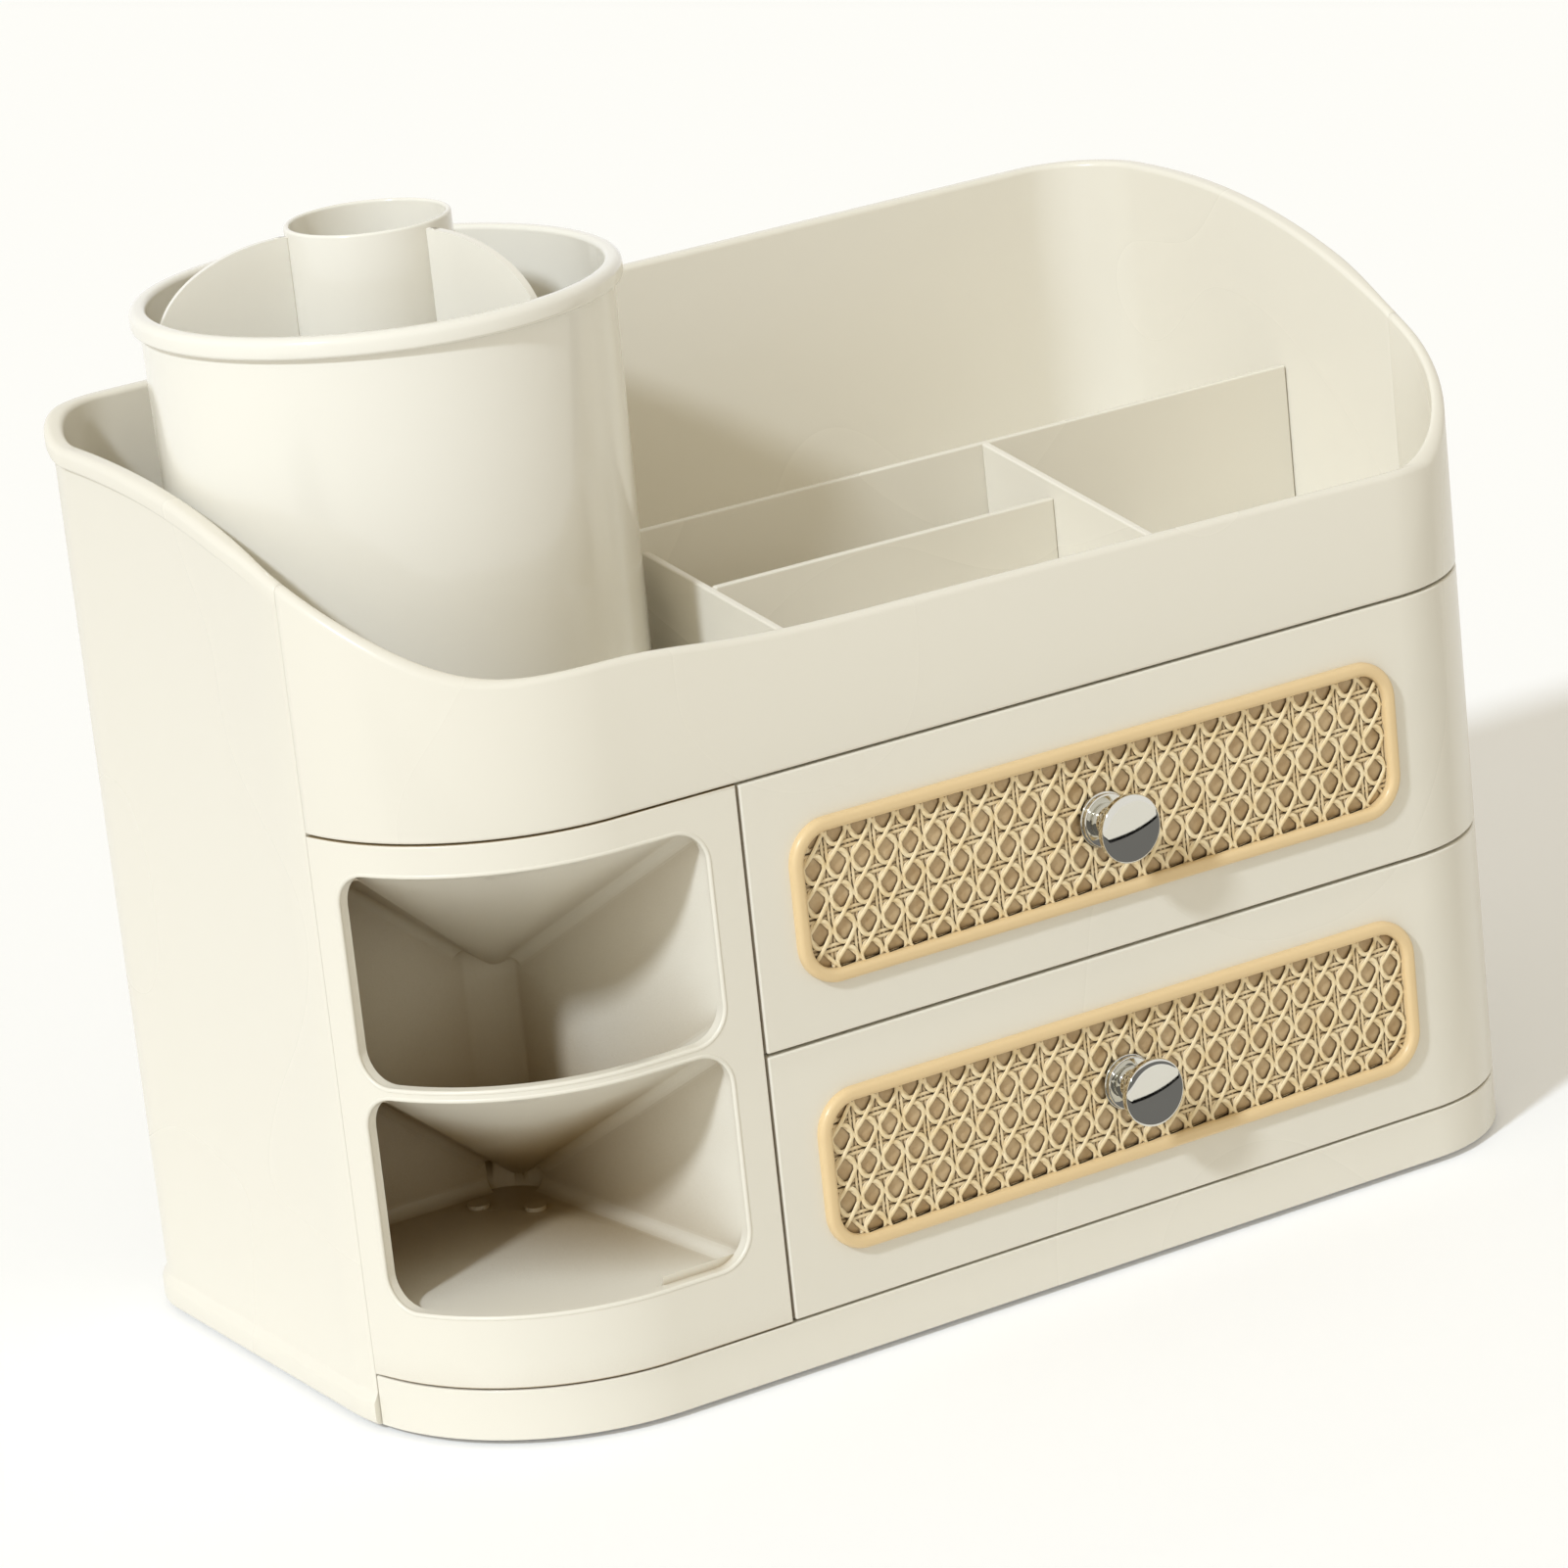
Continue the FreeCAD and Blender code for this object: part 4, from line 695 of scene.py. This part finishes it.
def make_cup():
    """The cup with its rolled lip, the insert's tube and its three round-topped wings."""
    centre = (CUP_X, CUP_Y, 0)
    form = Form()
    form.lathe([
        (4.05, CUP_UNDER, 0.2, 1), (52, CUP_UNDER, 2, 5), (53.3, 241.6, 0, 0), (55.3, 241.6, 0.9, 4),
        (55.3, CUP_TOP, 1.9, 7), (51.3, CUP_TOP, 1.3, 6), (50, 147, 2, 5), (4.05, 147, 0.2, 1)],
        centre, 180)
    form.keep("cup_moulding", "cup", "cup_plastic", ("brush_cup",))
    form = Form()
    form.lathe([
        (0.01, 150.5, 0, 0), (17.5, 150.5, 0, 0), (17.5, INSERT_UNDER, 0.2, 1),
        (18.8, INSERT_UNDER, 0.4, 2), (18.8, 260.6, 0.62, 5), (17.5, 260.6, 0.62, 5),
        (17.5, 151.8, 1.5, 4), (0.01, 151.8, 0, 0)], centre, 120)
    form.keep("tube_moulding", "insert", "cup_plastic", ("insert_tube",))
    tip, low, high, far = 239.0, 18.6, 259.2, 50.6
    outline = [(low, INSERT_UNDER), (47.4, INSERT_UNDER), (48.8, INSERT_UNDER + 0.6),
               (49.4, INSERT_UNDER + 2)]
    for step in range(33):
        turn = math.pi / 2 * step / 32
        outline.append((low + (far - low) * math.cos(turn), tip + (high - tip) * math.sin(turn)))
    for index, name in enumerate(("rear", "left", "right")):
        turn = math.radians(60 + 120 * index - WING_TURN)
        c, s = math.cos(turn), math.sin(turn)
        form = Form()
        form.plate(outline, -0.9, 0.9,
                   lambda u, v, w: (CUP_X + u * c - w * s, CUP_Y + u * s + w * c, v), 0.5)
        form.keep("wing_" + name, "insert", "cup_plastic", ("insert_wing_" + name,), weighted=True)


make_cup()


# Drawers

def bezel_path(half, rise, radius, step):
    """Rounded rectangle: (across, up, out across, out up)."""
    path = []
    for x, z, start in ((half, rise, 0), (-half, rise, 90), (-half, -rise, 180), (half, -rise, 270)):
        cx = x - math.copysign(radius, x)
        cz = z - math.copysign(radius, z)
        for i in range(step + 1):
            turn = math.radians(start + 90 * i / step)
            path.append((cx + radius * math.cos(turn), cz + radius * math.sin(turn),
                         math.cos(turn), math.sin(turn)))
    return path


def make_bezel(level, middle):
    """Round-edged frame about a cane panel."""
    profile = rounded([(1.5, 0, 0, 0), (1.5, 2, 1.15, 5), (-1.65, 2, 1.15, 5), (-1.65, -1.1, 0, 0),
                       (-1.48, -1.1, 0, 0), (-1.48, 0, 0, 0)])
    rings = [[(BEZEL_X + x + nx * out, -up, middle + z + nz * out) for out, up, _ in profile]
             for x, z, nx, nz in bezel_path(BEZEL_HALF, BEZEL_RISE, BEZEL_ROUND, 14)]
    form = Form()
    form.skin(rings, closed=True)
    form.keep(level + "_bezel_frame", level + "_drawer", "tan_plastic", (level + "_bezel",), sharp=50)


def in_panel(u, v):
    """Whether a place lies inside the panel's rounded outline."""
    x = max(abs(u) - CANE_HALF + CANE_ROUND, 0)
    z = max(abs(v) - CANE_RISE + CANE_ROUND, 0)
    return x * x + z * z <= CANE_ROUND * CANE_ROUND


def strand(form, middle, start, way, height_at, wide, thick):
    """One strand: a flat oval section along a straight way, rising and falling by height_at(u, v)."""
    inside = [i for i in range(-900, 901)
              if in_panel(start[0] + way[0] * i / 10, start[1] + way[1] * i / 10)]
    if len(inside) < 12:
        return
    low, high = inside[0] / 10, inside[-1] / 10
    count = max(2, math.ceil((high - low) / 0.8))
    rings = []
    for step in range(count + 1):
        t = low + (high - low) * step / count
        u, v = start[0] + way[0] * t, start[1] + way[1] * t
        rise = STRAND_BASE + height_at(u, v)
        ring = []
        for corner in range(8):
            turn = math.pi / 4 * corner
            side, up = wide * math.cos(turn), thick * math.sin(turn)
            ring.append((BEZEL_X + u - way[1] * side, -(rise + up), middle + v + way[0] * side))
        rings.append(ring)
    form.skin(rings)


def ring_strand(form, middle, across, up):
    """Strand that runs round one hole of the weave, rising where the diagonals cross it."""
    wide, high = PITCH / 2 - 0.52, ROW_PITCH / 2 - 0.62
    rings = []
    for step in range(28):
        turn = 2 * math.pi * step / 28
        c, s = math.cos(turn), math.sin(turn)
        out = Vector((c / wide, s / high)).normalized()
        rise = STRAND_BASE + 0.22 + 0.2 * math.cos(2 * turn - math.pi / 2)
        ring = []
        for corner in range(8):
            lean = math.pi / 4 * corner
            side, lift = 0.52 * math.cos(lean), 0.36 * math.sin(lean)
            u = across + wide * c + out.x * side
            v = up + high * s + out.y * side
            u = max(PANEL_INSET - CANE_HALF, min(CANE_HALF - PANEL_INSET, u))
            v = max(PANEL_INSET - CANE_RISE, min(CANE_RISE - PANEL_INSET, v))
            ring.append((BEZEL_X + u, -(rise + lift), middle + v))
        rings.append(ring)
    form.skin(rings, closed=True)


def make_cane(level, middle):
    """Cane webbing: pairs of strands both ways, loops round the holes and diagonals over them."""
    form = Form()
    half_turn, half_rise = math.pi / PITCH, math.pi / ROW_PITCH
    for column in range(COLUMNS + 1):
        place = (column - COLUMNS / 2) * PITCH
        for side in (-0.55, 0.55):
            strand(form, middle, (place + side, 0), (0, 1),
                   lambda u, v: 0.15 * (-1) ** column * math.sin(half_rise * v) - 0.12, 0.4, 0.25)
    for row in range(4):
        place = (row - 1.5) * ROW_PITCH
        for side in (-0.6, 0.6):
            strand(form, middle, (0, place + side), (1, 0),
                   lambda u, v: -0.15 * (-1) ** (row + 1) * math.sin(half_turn * u) - 0.12, 0.42, 0.25)
    side_column, end_row = COLUMNS // 2, 2
    for column in range(-side_column, side_column + 1):
        for row in range(-end_row, end_row + 1):
            if abs(column) < side_column or abs(row) < end_row:
                ring_strand(form, middle, column * PITCH, row * ROW_PITCH)
    length = math.hypot(PITCH, ROW_PITCH)
    for line in range(-15, 16):
        shift = (line + 0.5) * PITCH
        strand(form, middle, (shift, 0), (PITCH / length, ROW_PITCH / length),
               lambda u, v: 0.36 + 0.24 * math.cos(2 * half_turn * u), 0.52, 0.28)
        strand(form, middle, (shift, 0), (-PITCH / length, ROW_PITCH / length),
               lambda u, v: 0.1 - 0.24 * math.cos(2 * half_turn * u), 0.46, 0.26)
    outline = [(x, z) for x, z, _, _ in bezel_path(CANE_HALF, CANE_RISE, CANE_ROUND, 8)]
    form.plate(outline, CANE_BACKING, 1.2, lambda u, v, w: (BEZEL_X + u, w, middle + v), 0.1)
    piece = form.keep(level + "_cane_weave", level + "_drawer", "cane", (level + "_cane_panel",), sharp=60)
    # Painted shade: depth is 1 at the strand tops and falls to 0 towards the back, where the weave is
    # painted darker.
    forward = [min(1.0, max(0.0, (0.95 - case_place(v)[1]) / 1.2)) for v in piece.data.vertices]
    piece.data.attributes.new("depth", "FLOAT", "POINT").data.foreach_set("value", forward)


def make_knob(level, middle):
    """Turned knob with a domed face, and the grooved ring that it stands on."""
    collar = Form()
    centre = (BEZEL_X, -COLLAR_SEAT, middle)
    collar.lathe([
        (2.1, 0, 0, 0), (6.6, 0, 0, 0), (6.6, 0.75, 0.3, 3), (6.0, 0.85, 0.1, 2), (6.0, 1.05, 0.1, 2),
        (6.3, 1.15, 0.1, 2), (6.3, 2.0, 0.4, 3), (2.1, 2.0, 0, 0)], centre, 72, forward=True)
    collar.keep(level + "_knob_ring", level + "_drawer", "chrome_metal", (level + "_knob_collar",))
    knob = Form()
    dome = [(7.2 * (1 - t / 16) + 0.01, 10.6 - 0.62 * (1 - t / 16) ** 2, 0, 0) for t in range(17)]
    knob.lathe([
        (0.01, 0.5, 0, 0), (2.1, 0.5, 0, 0), (2.1, 0, 0, 0), (4.4, 0, 0.3, 2), (3.5, 2.6, 3, 4),
        (4.6, 5.8, 5, 5), (7.7, 7.3, 0.5, 3), (8.0, 8.0, 0.4, 3), (8.0, 9.3, 0.5, 4), *dome],
        (BEZEL_X, -KNOB_SEAT, middle), 96, forward=True)
    knob.keep(level + "_knob_body", level + "_drawer", "chrome_metal", (level + "_knob",))


for drawer, height in DRAWERS.items():
    soften(drawer + "_drawer_front", drawer + "_drawer", "shell_plastic", 0.5)
    soften(drawer + "_drawer_box", drawer + "_drawer", "shell_plastic", 0.4)
    make_bezel(drawer, height)
    make_cane(drawer, height)
    make_knob(drawer, height)

for node, part in frame["nodes"].items():
    if part.hide_render:
        continue
    for entry in frame["record"]["subparts"]:
        if entry["node"] == node:
            part.data.materials.clear()
            part.data.materials.append(LOOKS[entry["material_slot"]])


# Floor, lamps and world

def make_floor():
    """Round pale floor that keeps the shadow and glows a little where the camera sees it."""
    rings = []
    for radius in FLOOR_RINGS:
        turns = [2 * math.pi * t / FLOOR_STEPS for t in range(FLOOR_STEPS)]
        rings.append([(FLOOR_CENTRE[0] + radius * math.cos(t), FLOOR_CENTRE[1] + radius * math.sin(t))
                      for t in turns])
    mesh = bpy.data.meshes.new("floor")
    spots = [put((x, y, 0)) for ring in rings for x, y in ring]
    faces = []
    for low in range(0, FLOOR_STEPS * (len(rings) - 1), FLOOR_STEPS):
        high = low + FLOOR_STEPS
        for i in range(FLOOR_STEPS):
            after = (i + 1) % FLOOR_STEPS
            faces.append((low + i, low + after, high + after, high + i))
    mesh.from_pydata(spots, [], faces)
    floor = bpy.data.objects.new("floor", mesh)
    bpy.context.scene.collection.objects.link(floor)
    material, tree, shader = new_material("floor_pale")
    shader.inputs["Base Color"].default_value = (0.88, 0.88, 0.88, 1)
    shader.inputs["Roughness"].default_value = 0.9
    shader.inputs["Specular IOR Level"].default_value = 0.1
    shader.inputs["Emission Color"].default_value = (1, 1, 1, 1)
    seen = tree.nodes.new("ShaderNodeLightPath")
    both = tree.nodes.new("ShaderNodeMath")
    both.operation = "ADD"
    tree.links.new(seen.outputs["Is Camera Ray"], both.inputs[0])
    tree.links.new(seen.outputs["Is Glossy Ray"], both.inputs[1])
    glow = span(tree, both.outputs[0], 0.0, 1.0, 0.0, FLOOR_GLOW)
    tree.links.new(glow, shader.inputs["Emission Strength"])
    mesh.materials.append(material)


def make_card(name, height, near, far, level):
    """Studio card lying in front at a height, seen only in reflections."""
    mesh = bpy.data.meshes.new(name)
    spots = ((CARD_LEFT, -near), (CARD_RIGHT, -near), (CARD_RIGHT, -far), (CARD_LEFT, -far))
    mesh.from_pydata([put((x, y, height)) for x, y in spots], [], [(0, 1, 2, 3)])
    card = bpy.data.objects.new(name, mesh)
    bpy.context.scene.collection.objects.link(card)
    material, _, shader = new_material(name)
    shader.inputs["Base Color"].default_value = (0, 0, 0, 1)
    shader.inputs["Specular IOR Level"].default_value = 0.0
    shader.inputs["Emission Color"].default_value = (level, level, level, 1)
    shader.inputs["Emission Strength"].default_value = 1.0
    mesh.materials.append(material)
    card.visible_camera = card.visible_diffuse = card.visible_shadow = card.visible_transmission = False


def make_world():
    """White where it is seen or reflected; elsewhere a warm sky, brighter on one side."""
    world = bpy.data.worlds.new("studio")
    bpy.context.scene.world = world
    world.use_nodes = True
    tree = world.node_tree
    tree.nodes.clear()
    output = tree.nodes.new("ShaderNodeOutputWorld")
    soft = add(tree, "ShaderNodeBackground", Color=SKY_COLOUR)
    facing = add(tree, "ShaderNodeVectorMath")
    facing.operation = "DOT_PRODUCT"
    tree.links.new(tree.nodes.new("ShaderNodeTexCoord").outputs["Generated"], facing.inputs[0])
    facing.inputs[1].default_value = SKY_WAY
    level = span(tree, facing.outputs["Value"], -1.0, 1.0, SKY_DIM, SKY_BRIGHT)
    tree.links.new(level, soft.inputs["Strength"])
    white = add(tree, "ShaderNodeBackground", Color=(1, 1, 1, 1), Strength=1.0)
    seen = tree.nodes.new("ShaderNodeLightPath")
    total = seen.outputs["Is Camera Ray"]
    for kind in ("Is Glossy Ray", "Is Transmission Ray"):
        both = tree.nodes.new("ShaderNodeMath")
        both.operation = "ADD"
        both.use_clamp = True
        tree.links.new(total, both.inputs[0])
        tree.links.new(seen.outputs[kind], both.inputs[1])
        total = both.outputs[0]
    mix = tree.nodes.new("ShaderNodeMixShader")
    tree.links.new(total, mix.inputs[0])
    tree.links.new(soft.outputs[0], mix.inputs[1])
    tree.links.new(white.outputs[0], mix.inputs[2])
    tree.links.new(mix.outputs[0], output.inputs["Surface"])


def make_sun():
    data = bpy.data.lights.new("key", "SUN")
    data.energy = KEY_ENERGY
    data.color = KEY_COLOUR
    data.angle = math.radians(KEY_ANGLE)
    sun = bpy.data.objects.new("key", data)
    sun.rotation_mode = "QUATERNION"
    sun.rotation_quaternion = Vector(KEY_WAY).to_track_quat("-Z", "Y")
    bpy.context.scene.collection.objects.link(sun)


def make_camera():
    data = bpy.data.cameras.new("view")
    data.sensor_width = SENSOR
    data.lens = FOCAL_PIXELS / PHOTO_SIDE * SENSOR
    data.clip_start, data.clip_end = 0.05, 20
    camera = bpy.data.objects.new("view", data)
    azimuth, rise, roll = (math.radians(a) for a in (CAMERA_AZIMUTH, CAMERA_RISE, CAMERA_ROLL))
    back = Vector((math.sin(azimuth) * math.cos(rise), -math.cos(azimuth) * math.cos(rise), math.sin(rise)))
    right = Vector((math.cos(azimuth), math.sin(azimuth), 0))
    up = right.cross(-back)
    c, s = math.cos(roll), math.sin(roll)
    axes = Matrix((c * right + s * up, c * up - s * right, back)).transposed().to_4x4()
    camera.matrix_world = Matrix.Translation(CAMERA_PLACE) @ axes
    bpy.context.scene.collection.objects.link(camera)
    bpy.context.scene.camera = camera


make_floor()
for pair, (height, reach) in CARDS.items():
    make_card("card_grey_" + pair, height, CARD_NEAR, reach, CARD_GREY)
    make_card("card_black_" + pair, height, reach, reach + CARD_EDGE, CARD_BLACK)
make_world()
make_sun()
make_camera()
bpy.context.scene.view_settings.view_transform = "Standard"
